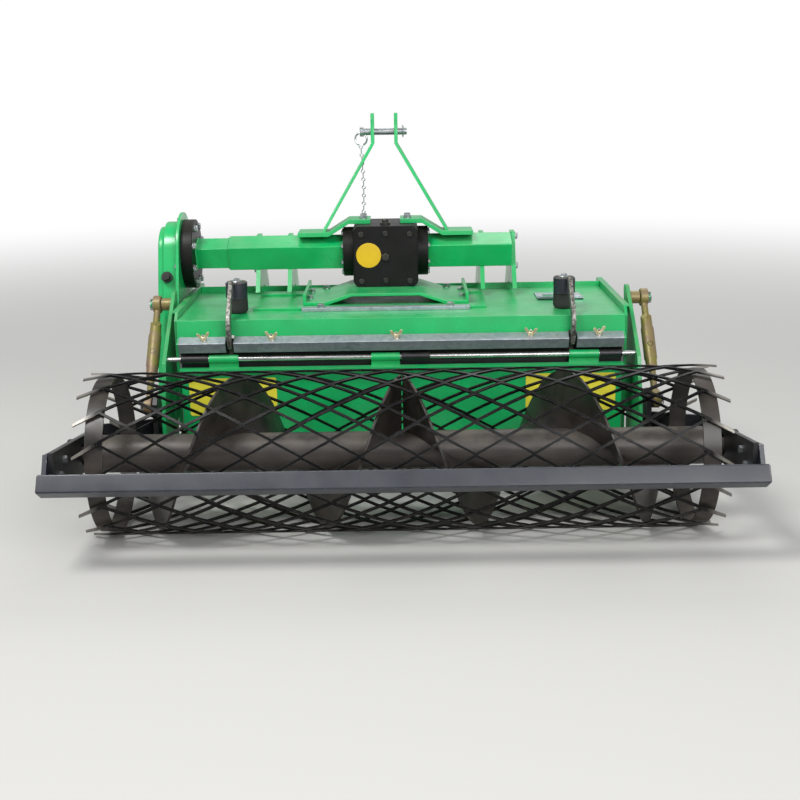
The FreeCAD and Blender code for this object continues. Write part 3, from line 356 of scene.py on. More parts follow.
# Flight plate, painted dark and polished by the soil that slides over it
FLIGHT_STEEL = Finish("flight_steel", "#1F1D1B", "#3A3430", "dark_steel", roughness=0.34, gloss=0.35,
                      wear=0.7, worn="#9A9894", dust="#6B6355", dust_share=0.08, soil=0.4, patch_mm=60.0)
# Rolled tube with thin grey-brown paint, worn evenly
AXLE_STEEL = Finish("axle_steel", "#4A4441", "#332F2E", "dark_steel", Grain.ROLLED, roughness=0.42,
                    metallic=0.35, worn="#A09E98", dust="#7F7869", dust_share=0.3)
# Bare tool steel of blades and teeth, dull where it is forged and bright where it cuts
TOOL_STEEL = Finish("tool_steel", "#3B3835", "#565049", "dark_steel", Grain.CAST, roughness=0.45,
                    metallic=0.6, wear=0.9, worn="#B9B6AE", dust="#6D6151", soil=0.7, grain_mm=3.0)
# Hot-dip zinc: pale grey crystals, half matt, with pale worn edges that are partly real wear and partly a
# painted highlight on its edges
GALVANISED = Finish("galvanised_steel", "#A3ADB6", "#8A949D", "zinc", Grain.SPANGLED, roughness=0.36,
                    metallic=0.7, worn="#D2D8DC", wear=0.7, dust_share=0.14)
# Bright zinc plate of bolts, pins and rods
ZINC_PLATE = Finish("zinc_plate", "#B7BBBE", "#9A9FA3", "zinc", Grain.ROLLED, roughness=0.28, metallic=0.9,
                    worn="#D9DBDC", dust_share=0.12, patch_mm=30.0, edge_mm=0.6)
# Yellow passivated zinc: a thin gold film over the metal, uneven from part to part
YELLOW_ZINC = Finish("yellow_zinc_plate", "#7E7736", "#75594E", "yellow_zinc", metallic=0.25,
                     worn="#8A8776", wear=0.6, dust_share=0.22, patch_mm=35.0)
# Flat bar with the paint rubbed away, dull grey
WORN_BAR = Finish("worn_bar", "#3C3B3B", "#A5A29C", "steel", Grain.CAST, metallic=0.6, wear=1.0,
                  worn="#C9C6C0", dust_share=0.12, patch_mm=7.0, edge_mm=3.0)
# Drawn round bar of the hinge, bright where the tubes turn on it
DRAWN_BAR = Finish("drawn_bar", "#D5D6D6", "#A9A9A8", "steel", Grain.ROLLED, roughness=0.22, metallic=0.85,
                   worn="#D5D4D0", dust_share=0.15, patch_mm=60.0)
# Black oxide of the cover's bolts: dark, with grey corners
BLACK_OXIDE = Finish("black_oxide", "#232323", "#2E2D2C", "black", metallic=0.5, worn="#8C8B88",
                     dust_share=0.2, patch_mm=12.0, edge_mm=0.6)
# Moulded black rubber: matt, a little grey with age
RUBBER = Finish("moulded_rubber", "#161617", "#232323", "rubber", Grain.MOULDED, roughness=0.7, wear=0.0,
                dust="#8A8272", dust_share=0.28, grain_mm=1.5, grain_depth_mm=0.06)
# Brass of the wing nuts, dull gold
BRASS = Finish("cast_brass", "#E2D8B4", "#CDBF94", "yellow_zinc", Grain.CAST, metallic=0.4,
               worn="#D3B676", dust_share=0.15, patch_mm=12.0, grain_mm=1.0)
# Blank yellow plate: satin film on thin sheet
YELLOW_PLATE = Finish("yellow_plate", "#E4DC3E", "#D6CC36", "yellow_zinc", roughness=0.42, wear=0.3,
                      worn="#C9C29A", dust_share=0.18, grain_depth_mm=0.01)
# The blank disc on the gearbox, a deeper yellow
YELLOW_DISC = Finish("yellow_disc", "#D2AC00", "#C39C00", "yellow_zinc", roughness=0.42, wear=0.3,
                     worn="#C9C29A", dust_share=0.02, grain_depth_mm=0.01)
# Moulded black plastic of caps
BLACK_PLASTIC = Finish("moulded_plastic", "#141415", "#1D1D1E", "black", Grain.MOULDED, roughness=0.38,
                       wear=0.0, dust_share=0.2, grain_mm=1.2, grain_depth_mm=0.03)


def spot(x: float, y: float, z: float) -> Vector:
    """Give a place in metres from its millimetres."""
    return Vector((x, y, z)) * MM


def towards(direction: Vector) -> Matrix:
    """Give the turn that carries Z onto a direction."""
    return direction.normalized().to_track_quat("Z", "Y").to_matrix().to_4x4()


def round_about(centre: Sequence[float], radius: float, count: int, first: float,
                step: float | None = None) -> list[Flat]:
    """Give flat places on a circle, in the centre's units.

    Args:
        centre: The circle's centre, two numbers.
        radius: The circle's radius.
        count: How many places.
        first: Where the first one lies, in degrees.
        step: Degrees from one to the next, or None to share out the full turn.
    """
    step = 360 / count if step is None else step
    angles = [math.radians(first + step * index) for index in range(count)]
    return [(centre[0] + radius * math.cos(angle), centre[1] + radius * math.sin(angle)) for angle in angles]


class Workpiece:
    """A mesh that grows from operators and ends as one finished object.

    Attributes:
        bm: The mesh under work, in metres.
        name: The piece's name.
    """

    def __init__(self, name: str) -> None:
        """Start an empty mesh under a name."""
        self.bm = bmesh.new()
        self.name = name

    def bar(self, start: Vector, stop: Vector, radius: float, sides: int = 24,
            end_radius: float | None = None) -> None:
        """Add a round bar, or a taper, between two places.

        Args:
            start: One end, in metres.
            stop: The other end, in metres.
            radius: Radius at the start, in millimetres.
            sides: How many flat sides stand for the round.
            end_radius: Radius at the stop, if it differs.
        """
        along = stop - start
        bmesh.ops.create_cone(
            self.bm, cap_ends=True, segments=sides, radius1=radius * MM,
            radius2=(radius if end_radius is None else end_radius) * MM, depth=along.length,
            matrix=Matrix.Translation((start + stop) / 2) @ towards(along))

    def block(self, low: Sequence[float], high: Sequence[float]) -> None:
        """Add a block between two corners in millimetres."""
        low_at, high_at = spot(*low), spot(*high)
        bmesh.ops.create_cube(self.bm, size=1.0, matrix=Matrix.Translation((low_at + high_at) / 2)
                              @ Matrix.Diagonal((*(high_at - low_at), 1.0)))

    def prism(self, outline: Iterable[Vector], push: Vector) -> None:
        """Push a flat outline along a direction.

        Args:
            outline: The corners in order, in metres.
            push: Direction and length, in metres.
        """
        corners = [self.bm.verts.new(corner) for corner in outline]
        face = self.bm.faces.new(corners)
        grown = bmesh.ops.extrude_face_region(self.bm, geom=[face])
        moved = [item for item in grown["geom"] if isinstance(item, bmesh.types.BMVert)]
        bmesh.ops.translate(self.bm, verts=moved, vec=push)
        shell = [face] + [item for item in self.bm.faces if any(vert in moved for vert in item.verts)]
        bmesh.ops.recalc_face_normals(self.bm, faces=list(set(shell)))

    def turned(self, centre: Vector, axis: Vector, profile: Sequence[Flat],
               steps: int = 32) -> None:
        """Spin a profile of (radius, height) in millimetres about an axis.

        Args:
            centre: The axis's start, in metres.
            axis: The axis's direction.
            profile: Points from one end to the other; a closed ring if the ends meet.
            steps: How many steps make the full turn.
        """
        place = Matrix.Translation(centre) @ towards(axis)
        verts = [self.bm.verts.new(place @ Vector((max(radius, 0.001) * MM, 0, height * MM)))
                 for radius, height in profile]
        edges = [self.bm.edges.new(pair) for pair in zip(verts, verts[1:])]
        bmesh.ops.spin(self.bm, geom=[*verts, *edges], cent=centre, axis=axis.normalized(), angle=2 * math.pi,
                       steps=steps, use_merge=True)
        faces = {face for edge in edges for face in edge.link_faces}
        grown = set(faces)
        while faces:
            faces = {near for face in faces for edge in face.edges for near in edge.link_faces} - grown
            grown |= faces
        merged = {vert for face in grown for vert in face.verts}
        bmesh.ops.remove_doubles(self.bm, verts=list(merged), dist=0.00002)
        bmesh.ops.recalc_face_normals(self.bm, faces=[face for face in grown if face.is_valid])

    def ring(self, centre: Vector, axis: Vector, radius: float, wire: float, steps: int = 24) -> None:
        """Add a closed ring of round wire, with both radii in millimetres."""
        self.turned(centre, axis, round_about((radius, 0.0), wire, 9, 0.0, 45.0), steps)

    def bolt(self, seat: Vector, axis: Vector, thread: float = 10.0, washer: bool = True) -> None:
        """Add a hexagon head with its washer.

        Args:
            seat: Where the head bears, in metres.
            axis: The way the head stands out.
            thread: The bolt's nominal size in millimetres.
            washer: Whether a flat washer lies under the head.
        """
        across, washer_wall = thread * 0.92, thread * 0.2
        base = seat
        if washer:
            base = seat + axis * washer_wall * MM
            self.bar(seat, base, thread, 20)
        chamfer = base + axis * thread * 0.5 * MM
        self.bar(base, chamfer, across, 6)
        self.bar(chamfer, base + axis * thread * 0.64 * MM, across, 6, thread * 0.78)

    def bolts(self, axis: Vector, thread: float, places: Iterable[Sequence[float]],
              washer: bool = True) -> None:
        """Add a bolt at each place in millimetres, all alike."""
        for place in places:
            self.bolt(spot(*place), axis, thread, washer)

    def done(self, finish: Finish, body: str, bevel: float = 0.0, angle: float = TURNED,
             replaces: Sequence[str] = ()) -> bpy.types.Object:
        """Close the mesh and set it on its body.

        Args:
            finish: The surface finish.
            body: The body that the piece rides on.
            bevel: Width of the rounded edges in millimetres.
            angle: Edges sharper than this stay crisp, in degrees.
            replaces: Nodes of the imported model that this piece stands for.

        Returns:
            The finished object.
        """
        if bevel:
            sharp = [edge for edge in self.bm.edges
                     if edge.is_manifold and edge.calc_face_angle(0.0) > math.radians(30)]
            bmesh.ops.bevel(self.bm, geom=sharp, offset=bevel * MM, offset_type="OFFSET", segments=2,
                            profile=0.5, affect="EDGES", clamp_overlap=True, material=-1)
        mesh = bpy.data.meshes.new(self.name)
        self.bm.to_mesh(mesh)
        self.bm.free()
        mesh.shade_smooth()
        mesh.set_sharp_from_angle(angle=math.radians(angle))
        made = bpy.data.objects.new(self.name, mesh)
        bpy.context.scene.collection.objects.link(made)
        mesh.materials.append(finish.material())
        level_faces(made)
        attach(made, body)
        if replaces:
            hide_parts(*replaces)
        log.info("%s rides on %s", self.name, body)
        return made


def level_faces(made: bpy.types.Object) -> None:
    """Shade flat faces flat beside rounded edges."""
    level = made.modifiers.new("flat_faces", "WEIGHTED_NORMAL")
    level.keep_sharp = True


def thicken(made: bpy.types.Object, wall: float, rounding: float, segments: int) -> None:
    """Give a bent sheet its wall and round its edges.

    Args:
        made: The sheet's object.
        wall: The wall in millimetres, half of it on each side.
        rounding: Width of the rounded edges in millimetres.
        segments: How many steps round each edge.
    """
    made.modifiers.clear()
    thick = made.modifiers.new("wall", "SOLIDIFY")
    thick.thickness = wall * MM
    thick.offset = 0.0
    edge = made.modifiers.new("rolled_edges", "BEVEL")
    edge.width = rounding * MM
    edge.segments = segments
    edge.limit_method = "ANGLE"
    level_faces(made)


def ease_stub(bm: bmesh.types.BMesh, box: tuple[Vector, Vector], radius: float, ease: float = 0.7) -> None:
    """Draw a stub's flat sides in, so that their corners turn free of the bore's flat sides.

    Args:
        bm: The mesh, in metres.
        box: The node's lowest and highest corners, with the stub's axis through their middle.
        radius: The stub's radius in millimetres.
        ease: How far its surface moves in, in millimetres.
    """
    middle = (box[0] + box[1]) / 2
    for vert in bm.verts:
        spoke = Vector((0, vert.co.y - middle.y, vert.co.z - middle.z))
        if abs(spoke.length - radius * MM) < 0.2 * MM:
            vert.co -= spoke.normalized() * ease * MM


def rounded_copy(frame: dict[str, Any], node: str, finish: Finish, bevel: float,
                 stub: float | None = None) -> None:
    """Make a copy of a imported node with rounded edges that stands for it.

    Args:
        node: The node's name.
        finish: The surface finish.
        bevel: Width of the rounded edges in millimetres.
        stub: Radius of a stub in millimetres that turns in a close bore, where the piece has one.
    """
    source = frame["nodes"][node]
    piece = Workpiece(node + "_finished")
    piece.bm.from_mesh(source.data)
    bmesh.ops.remove_doubles(piece.bm, verts=piece.bm.verts, dist=0.00001)
    bmesh.ops.dissolve_limit(piece.bm, angle_limit=math.radians(0.6), verts=piece.bm.verts,
                             edges=piece.bm.edges)
    if stub:
        ease_stub(piece.bm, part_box(node), stub)
    piece.done(finish, source["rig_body"], bevel, PANEL, replaces=(node,))


@dataclass
class Panels:
    """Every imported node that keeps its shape: its finish, and how round its edges are in millimetres."""

    frame: dict[str, Any]
    rows: tuple[tuple[Finish, float, str], ...] = (
        (GREEN_ENAMEL, 3.0, "beam_left beam_right"), (BLACK_CASTING, 3.0, "gearbox"),
        (BLACK_CASTING, 2.0, "gearbox_cover"), (ZINC_PLATE, 0.5, "drive_stub"),
        (GREEN_ENAMEL, 1.0, "chain_plate"), (GREEN_ENAMEL, 5.0, "chain_case"),
        (BLACK_CASTING, 2.0, "drive_flange"), (GREEN_ENAMEL, 1.2, "hood"),
        (GREEN_ENAMEL, 0.8, "hood_rails"), (GREEN_ENAMEL, 1.5, "saddle"), (GALVANISED, 1.0, "clamp_bar"),
        (GREEN_ENAMEL, 1.2, "headstock_left headstock_right hitch_left hitch_right"),
        (GREEN_LOW, 1.0, "side_left side_right bracket_left bracket_right"),
        (BLACK_CASTING, 2.0, "rotor_bearing"), (GALVANISED, 1.4, "angle_strips"),
        (RUBBER, 0.6, "rubber_strips"), (BLACK_ENAMEL, 1.0, "comb_bar"),
        (WORN_BAR, 1.0, "comb_arms"), (GREEN_ENAMEL, 1.0, "rear_door"),
        (BLACK_ENAMEL, 1.0, "rotor_shaft"), (TOOL_STEEL, 1.0, "rotor_blades"),
        (BLACK_ENAMEL, 1.5, "arm_left arm_right"), (BLACK_CASTING, 2.0, "bearing_left bearing_right"),
        (FLIGHT_STEEL, 0.8, "end_bands"),
    )
    # Radius of each stub that turns in a close bore
    stubs: dict[str, float] = field(default_factory=lambda: {"rotor_shaft": 20.0})

    def build(self) -> None:
        """Give each node its rounded copy."""
        for finish, bevel, nodes in self.rows:
            for node in nodes.split():
                rounded_copy(self.frame, node, finish, bevel, self.stubs.get(node))


@dataclass
class RoundBars:
    """Round bars and pins, turned finely enough to read as round."""

    stone_teeth: int = 26
    tooth_radius: float = 6.0
    tooth_tip_radius: float = 1.5
    tooth_point: float = 18.0

    def build(self) -> None:
        """Make the hinge rod, the top pin and the comb's teeth from their nodes' places."""
        for node, finish in (("hinge_rod", DRAWN_BAR), ("top_pin", ZINC_PLATE)):
            low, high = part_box(node)
            middle = (low + high) / 2
            piece = Workpiece(node + "_turned")
            piece.bar(Vector((low.x, middle.y, middle.z)), Vector((high.x, middle.y, middle.z)),
                      (high.z - low.z) / 2 / MM, 40)
            piece.done(finish, "frame", 1.5, PANEL, replaces=(node,))
        low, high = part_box("comb_teeth")
        teeth = Workpiece("comb_teeth_turned")
        radius, point = self.tooth_radius, self.tooth_point * MM
        reach = high.x - low.x - 2 * radius * MM
        for index in range(self.stone_teeth):
            x, y = low.x + radius * MM + reach * index / (self.stone_teeth - 1), (low.y + high.y) / 2
            shoulder = Vector((x, y, low.z + point))
            teeth.bar(Vector((x, y, high.z)), shoulder, radius, 16)
            teeth.bar(shoulder, Vector((x, y, low.z)), radius, 16, self.tooth_tip_radius)
        teeth.done(TOOL_STEEL, "frame", 0.0, PANEL, replaces=("comb_teeth",))


@dataclass
class Roller:
    """The rear roller: expanded-steel cage, auger flight and axle."""

    radius: float = 191.0
    half: float = 731.0
    stub: float = 56.0
    cells_round: int = 16
    cells_along: float = 10.5
    strand: float = 8.8
    sheet: float = 5.0
    phase: float = -1.5
    axle_radius: float = 44.5
    axle_half: float = 718.0
    axle_stub: float = 782.0
    stub_radius: float = 17.5
    flight_pitch: float = 390.0
    flight_radius: float = 181.5
    flight_wall: float = 6.0
    flight_first: float = 3.4
    flight_last: float = 661.4
    flight_rows: int = 4
    flight_steps: int = 56

    def build(self) -> None:
        """Make the cage, the flight and the axle."""
        self._cage()
        self._flight()
        self._axle()

    @staticmethod
    def _copied(bm: bmesh.types.BMesh, geom: list[Any], shift: Place) -> list[Any]:
        """Copy part of the flat sheet to a place beside it, and give the copy."""
        copy = bmesh.ops.duplicate(bm, geom=geom)["geom"]
        bmesh.ops.translate(bm, verts=[v for v in copy if isinstance(v, bmesh.types.BMVert)], vec=shift)
        return copy

    def _cage(self) -> None:
        """Expand a flat sheet of diamonds, then roll it round the axle."""
        piece = Workpiece("expanded_cage")
        bm = piece.bm
        middle_radius = (self.radius - self.sheet / 2 - 0.2) * MM
        crossing = (self.half - self.stub) * MM
        step_x, step_y = 2 * crossing / self.cells_along, 2 * math.pi * middle_radius / self.cells_round
        half_x, half_y = step_x / 2, step_y / 2
        corners = [bm.verts.new(corner) for corner in (
            (-half_x, 0, 0), (0, -half_y, 0), (half_x, 0, 0), (0, half_y, 0))]
        first = bm.faces.new(corners)
        cell = [first, *corners, *first.edges]
        row = list(cell)
        for index in range(1, math.ceil(self.cells_along) + 1):
            row += self._copied(bm, cell, (step_x * index, 0, 0))
        band = row + self._copied(bm, row, (half_x, half_y, 0))
        for index in range(1, self.cells_round):
            self._copied(bm, band, (0, step_y * index, 0))
        # The strands meet a stub's length in from each end
        bmesh.ops.translate(bm, verts=bm.verts, vec=(-crossing - half_x, 0, 0))
        inset = bmesh.ops.inset_individual(bm, faces=bm.faces, thickness=self.strand / 2 * MM)
        rims = set(inset["faces"])
        bmesh.ops.delete(bm, geom=[face for face in bm.faces if face not in rims], context="FACES")
        for sign in (-1, 1):
            bmesh.ops.bisect_plane(bm, geom=[*bm.verts, *bm.edges, *bm.faces], clear_outer=True,
                                   plane_co=(sign * crossing, 0, 0), plane_no=(sign, 0, 0))
        self._stubs(bm, half_x, half_y)
        long_edges = [edge for edge in bm.edges if edge.calc_length() > 0.03]
        bmesh.ops.subdivide_edges(bm, edges=long_edges, cuts=2, use_grid_fill=True)
        bmesh.ops.remove_doubles(bm, verts=bm.verts, dist=0.00005)
        for vert in bm.verts:
            angle = vert.co.y / middle_radius + math.radians(self.phase)
            spoke = Vector((0, math.cos(angle), math.sin(angle)))
            vert.co = spot(vert.co.x / MM, *ROLLER) + middle_radius * spoke
        bmesh.ops.remove_doubles(bm, verts=bm.verts, dist=0.0001)
        bmesh.ops.recalc_face_normals(bm, faces=bm.faces)
        thicken(piece.done(EXPANDED_STEEL, "roller", 0.0, SHEET, replaces=("mesh_cage",)), self.sheet, 0.9, 1)

    def _stubs(self, bm: bmesh.types.BMesh, half_x: float, half_y: float) -> None:
        """Let one strand of each outermost crossing run on, as the cut sheet's ends do.

        Args:
            bm: The flat sheet.
            half_x: Half a cell's length, in metres.
            half_y: Half a cell's height, in metres.
        """
        crossing, slope = (self.half - self.stub) * MM, half_y / half_x
        rise = self.strand / 2 * MM * math.hypot(1, slope)
        for sign, first in ((-1, 0.0), (1, half_y)):
            for index in range(self.cells_round):
                rows = []
                for share in (0, 0.5, 1):
                    run = self.stub * share * MM
                    middle = first + 2 * half_y * index + run * slope
                    # The cut end is narrower than the strand
                    width = rise * (1 - 0.35 * share)
                    rows.append([bm.verts.new((sign * (crossing + run), middle + lift, 0))
                                 for lift in (-width, 0, width)])
                for near, far in zip(rows, rows[1:]):
                    for low in (0, 1):
                        bm.faces.new((near[low], far[low], far[low + 1], near[low + 1]))

    def _flight(self) -> None:
        """Wind each half of the flight outwards from the middle, as a clean screw of plate."""
        piece = Workpiece("auger_flight_wound")
        bm = piece.bm
        turns = (self.flight_last - self.flight_first) / self.flight_pitch
        steps = int(turns * self.flight_steps)
        root, (y, z) = self.axle_radius - 1, ROLLER
        for side in Side:
            verts = [bm.verts.new(spot(side.value * self.flight_first, y,
                                       z + root + (self.flight_radius - root) * index / self.flight_rows))
                     for index in range(self.flight_rows + 1)]
            edges = [bm.edges.new(pair) for pair in zip(verts, verts[1:])]
            bmesh.ops.spin(bm, geom=[*verts, *edges], cent=spot(0, y, z), axis=(1, 0, 0),
                           dvec=spot(side.value * self.flight_pitch * turns / steps, 0, 0),
                           angle=2 * math.pi * turns, steps=steps)
        bmesh.ops.recalc_face_normals(bm, faces=bm.faces)
        made = piece.done(FLIGHT_STEEL, "roller", 0.0, SHEET, replaces=("auger_flight",))
        thicken(made, self.flight_wall, 1.2, 2)

    def _axle(self) -> None:
        """Turn the axle tube with its stubs and the discs that close its ends."""
        piece = Workpiece("roller_axle_turned")
        reach, end, stub, tube = self.axle_half, self.axle_stub, self.stub_radius, self.axle_radius
        half = [(tube, reach - 1), (tube - 1.5, reach + 1), (stub, reach + 1), (stub, end - 1.5),
                (stub - 1.5, end), (0, end)]
        other = [(radius, -along) for radius, along in reversed(half)]
        piece.turned(spot(0, *ROLLER), Axis.X.vector(), other + half, 56)
        piece.done(AXLE_STEEL, "roller", replaces=("roller_axle",))


@dataclass
class RearBar:
    """The square tube behind the roller, tilted, with the plates that carry it."""

    half: float = 776.0
    side: float = 42.0
    corner: float = 4.0
    tilt: float = -34.0
    y: float = -582.9
    z: float = 208.0
    plate_x: Flat = (764.0, 774.0)
    plate: tuple[Flat, ...] = (
        (-440.0, 172.0), (-573.0, 190.0), (-573.0, 226.0), (-548.0, 267.0), (-440.0, 247.4))
    cap_inset: float = 3.0
    cap_wall: float = 2.5

    def _ring(self, x: float, side: float) -> list[Vector]:
        """Give the rounded square at a place along the bar."""
        lean = Matrix.Rotation(math.radians(self.tilt), 2)
        reach = side / 2 - self.corner
        points = []
        for quarter in (0, 90, 180, 270):
            centre = Matrix.Rotation(math.radians(quarter), 2) @ Vector((reach, reach))
            for flat in round_about(centre, self.corner, 4, quarter, 30.0):
                points.append(spot(0, self.y, self.z) + spot(x, *(lean @ Vector(flat))))
        return points

    def build(self) -> None:
        """Push the tube and both plates, and close the tube's ends with caps."""
        piece = Workpiece("rear_bar_tube")
        piece.prism(self._ring(-self.half, self.side), spot(2 * self.half, 0, 0))
        caps = Workpiece("rear_bar_caps")
        inner, outer = self.plate_x
        for side in Side:
            plate = [spot(side.value * inner, y, z) for y, z in self.plate]
            piece.prism(plate, side.out * (outer - inner) * MM)
            cap = self._ring(side.value * self.half, self.side - self.cap_inset)
            caps.prism(cap, side.out * self.cap_wall * MM)
        piece.done(SKY_TINTED_ENAMEL, "roller_frame", replaces=("rear_bar",))
        caps.done(BLACK_PLASTIC, "roller_frame", 0.8)


@dataclass
class Turnbuckle:
    """One adjusting turnbuckle: eyes, threaded shanks, lock nut and slotted barrel."""

    side: Side
    x: float = 646.0
    eye_radius: float = 23.5
    eye_wall: float = 20.0
    barrel_radius: float = 16.8
    spacer_x: float = 608.2

    def build(self) -> None:
        """Make the hanging half, the sliding half, the pins' clips and the upper spacer."""
        top = spot(self.side.value * self.x, *UPPER_EYE)
        bottom = spot(self.side.value * self.x, *LOWER_EYE)
        down = (bottom - top).normalized()
        span = (bottom - top).length / MM
        turnbuckle, rod = f"turnbuckle_{self.side.word}", f"rod_{self.side.word}"
        hanging = Workpiece(f"{turnbuckle}_barrel")
        self._eye(hanging, top, 9.6)
        hanging.bar(top + down * 21 * MM, top + down * 72 * MM, 8.6, 24)
        self._thread(hanging, top, down, 30, 66)
        hanging.bar(top + down * 60 * MM, top + down * 71 * MM, 15, 6)
        # The barrel's outside, down and then back up its bore
        barrel = self.barrel_radius
        hanging.turned(top, down, [
            (0, 71), (13, 71), (14.5, 73), (15, 92), (barrel, 98), (barrel, 186), (15, 192), (14.5, 213),
            (13, 215), (9.4, 215), (9.4, 112), (0, 112)], 36)
        hanging.done(YELLOW_ZINC, turnbuckle, replaces=(turnbuckle,))
        sliding = Workpiece(f"{turnbuckle}_rod")
        self._eye(sliding, bottom, 13.0)
        sliding.bar(top + down * 165 * MM, top + down * (span - 20) * MM, 8.3, 24)
        self._thread(sliding, top, down, 168, span - 26)
        sliding.done(YELLOW_ZINC, rod, replaces=(rod,))
        self._slot_hole(top, down)
        self._clips(top, bottom)
        spacer = Workpiece(f"eye_spacer_{self.side.word}")
        spacer.turned(spot(self.side.value * self.spacer_x, *UPPER_EYE), self.side.out,
                      [(15.6, 0), (16.6, 0.6), (16.6, 25.6), (15.6, 26.4)], 32)
        spacer.done(YELLOW_ZINC, "frame")

    def _eye(self, piece: Workpiece, at: Vector, bore: float) -> None:
        """Turn one eye about its bore, with rounded rims."""
        half, rim = self.eye_wall / 2, self.eye_radius
        piece.turned(at, Axis.X.vector(), [(bore, -half), (rim - 2, -half), (rim, -half + 2), (rim, half - 2),
                                           (rim - 2, half), (bore, half), (bore, -half)], 40)

    def _thread(self, piece: Workpiece, top: Vector, down: Vector, start: float, stop: float) -> None:
        """Cut a thread as a row of ridges, 3 mm apart so that it shows."""
        ridges: list[Flat] = [(8.2, start)]
        place = start
        while place + 3 < stop:
            ridges += [(9.0, place + 1.5), (8.2, place + 3)]
            place += 3
        piece.turned(top, down, ridges, 24)

    def _slot_hole(self, top: Vector, down: Vector) -> None:
        """Set a black disc in the barrel's side: painted shade that stands for the hole of a turning bar."""
        hole_shade = Workpiece(f"turnbuckle_{self.side.word}_hole")
        for sign in (-1, 1):
            out = Vector((0, down.z, -down.y)) * sign
            hole_shade.turned(top + down * 150 * MM + out * 14.5 * MM, out,
                        [(0, 0.6), (5.6, 0.6), (6.2, 2.6), (7.4, 2.6), (7.4, -2), (0, -2)], 24)
        hole_shade.done(BLACK_PLASTIC, f"turnbuckle_{self.side.word}")

    def _clips(self, top: Vector, bottom: Vector) -> None:
        """Hang a linch pin with its ring on each eye pin's outer end."""
        for name, at, body in (("upper", top, "frame"), ("lower", bottom, "roller_frame")):
            clip = Workpiece(f"linch_pin_{name}_{self.side.word}")
            hole_shade = at + self.side.out * 14.5 * MM
            clip.turned(at, self.side.out, [(9.5, 10.3), (15, 10.3), (16, 11), (16, 12), (15, 12.6),
                                            (9.5, 12.6)], 28)
            clip.bar(hole_shade + spot(0, 0, 14), hole_shade - spot(0, 0, 16), 2.0, 12)
            clip.ring(hole_shade + spot(self.side.value, -12, 2), Axis.X.vector(), 14, 1.3)
            clip.done(ZINC_PLATE, body)


@dataclass
class Buffers:
    """The two rubber buffers behind the comb's arms, with their caps and bolts."""

    x: float = 427.0
    y: float = 112.0
    bottom: float = 446.0
    top: float = 531.0
    radius: float = 28.0
    cap_drop: float = 44.0
    cap_height: float = 40.0

    def build(self) -> None:
        """Turn the rubber and add the steel discs, the bolts and the caps."""
        rubber = Workpiece("comb_buffers_moulded")
        steel = Workpiece("buffer_bolts")
        caps = Workpiece("buffer_caps")
        high, r, up = self.top - self.bottom, self.radius, Axis.Z.vector()
        for side in Side:
            x = side.value * self.x
            base = spot(x, self.y, self.bottom)
            rubber.turned(base, up, [
                (0, 0.4), (r - 8, 0.4), (r - 3, 3), (r - 1, 8), (r - 0.5, 14), (r - 1.5, high * 0.5),
                (r - 0.5, high - 10), (r - 0.5, high - 5), (r - 3, high - 2.5), (0, high - 2.5)], 40)
            steel.turned(base + spot(0, 0, high - 2.5), up,
                         [(0, 0), (15, 0), (16, 1), (15, 2.4), (0, 2.4)], 28)
            steel.bolt(base + spot(0, 0, high - 0.2), up, 9, False)
            # The cap wraps the rear side: out along its outer face and back along the inner
            outer = round_about((x, self.y), r + 2.2, 13, 200.0, 140 / 12)
            inner = round_about((x, self.y), r - 0.4, 13, 200.0, 140 / 12)
            caps.prism([spot(*flat, self.top - self.cap_drop) for flat in outer + inner[::-1]],
                       spot(0, 0, self.cap_height))
        # The caps take the enamel whose blue-grey tint is a painted reflection of the sky
        caps.done(SKY_TINTED_ENAMEL, "frame", 0.5)
        rubber.done(RUBBER, "frame", 0.0, 40.0, replaces=("comb_buffers",))
        steel.done(ZINC_PLATE, "frame")


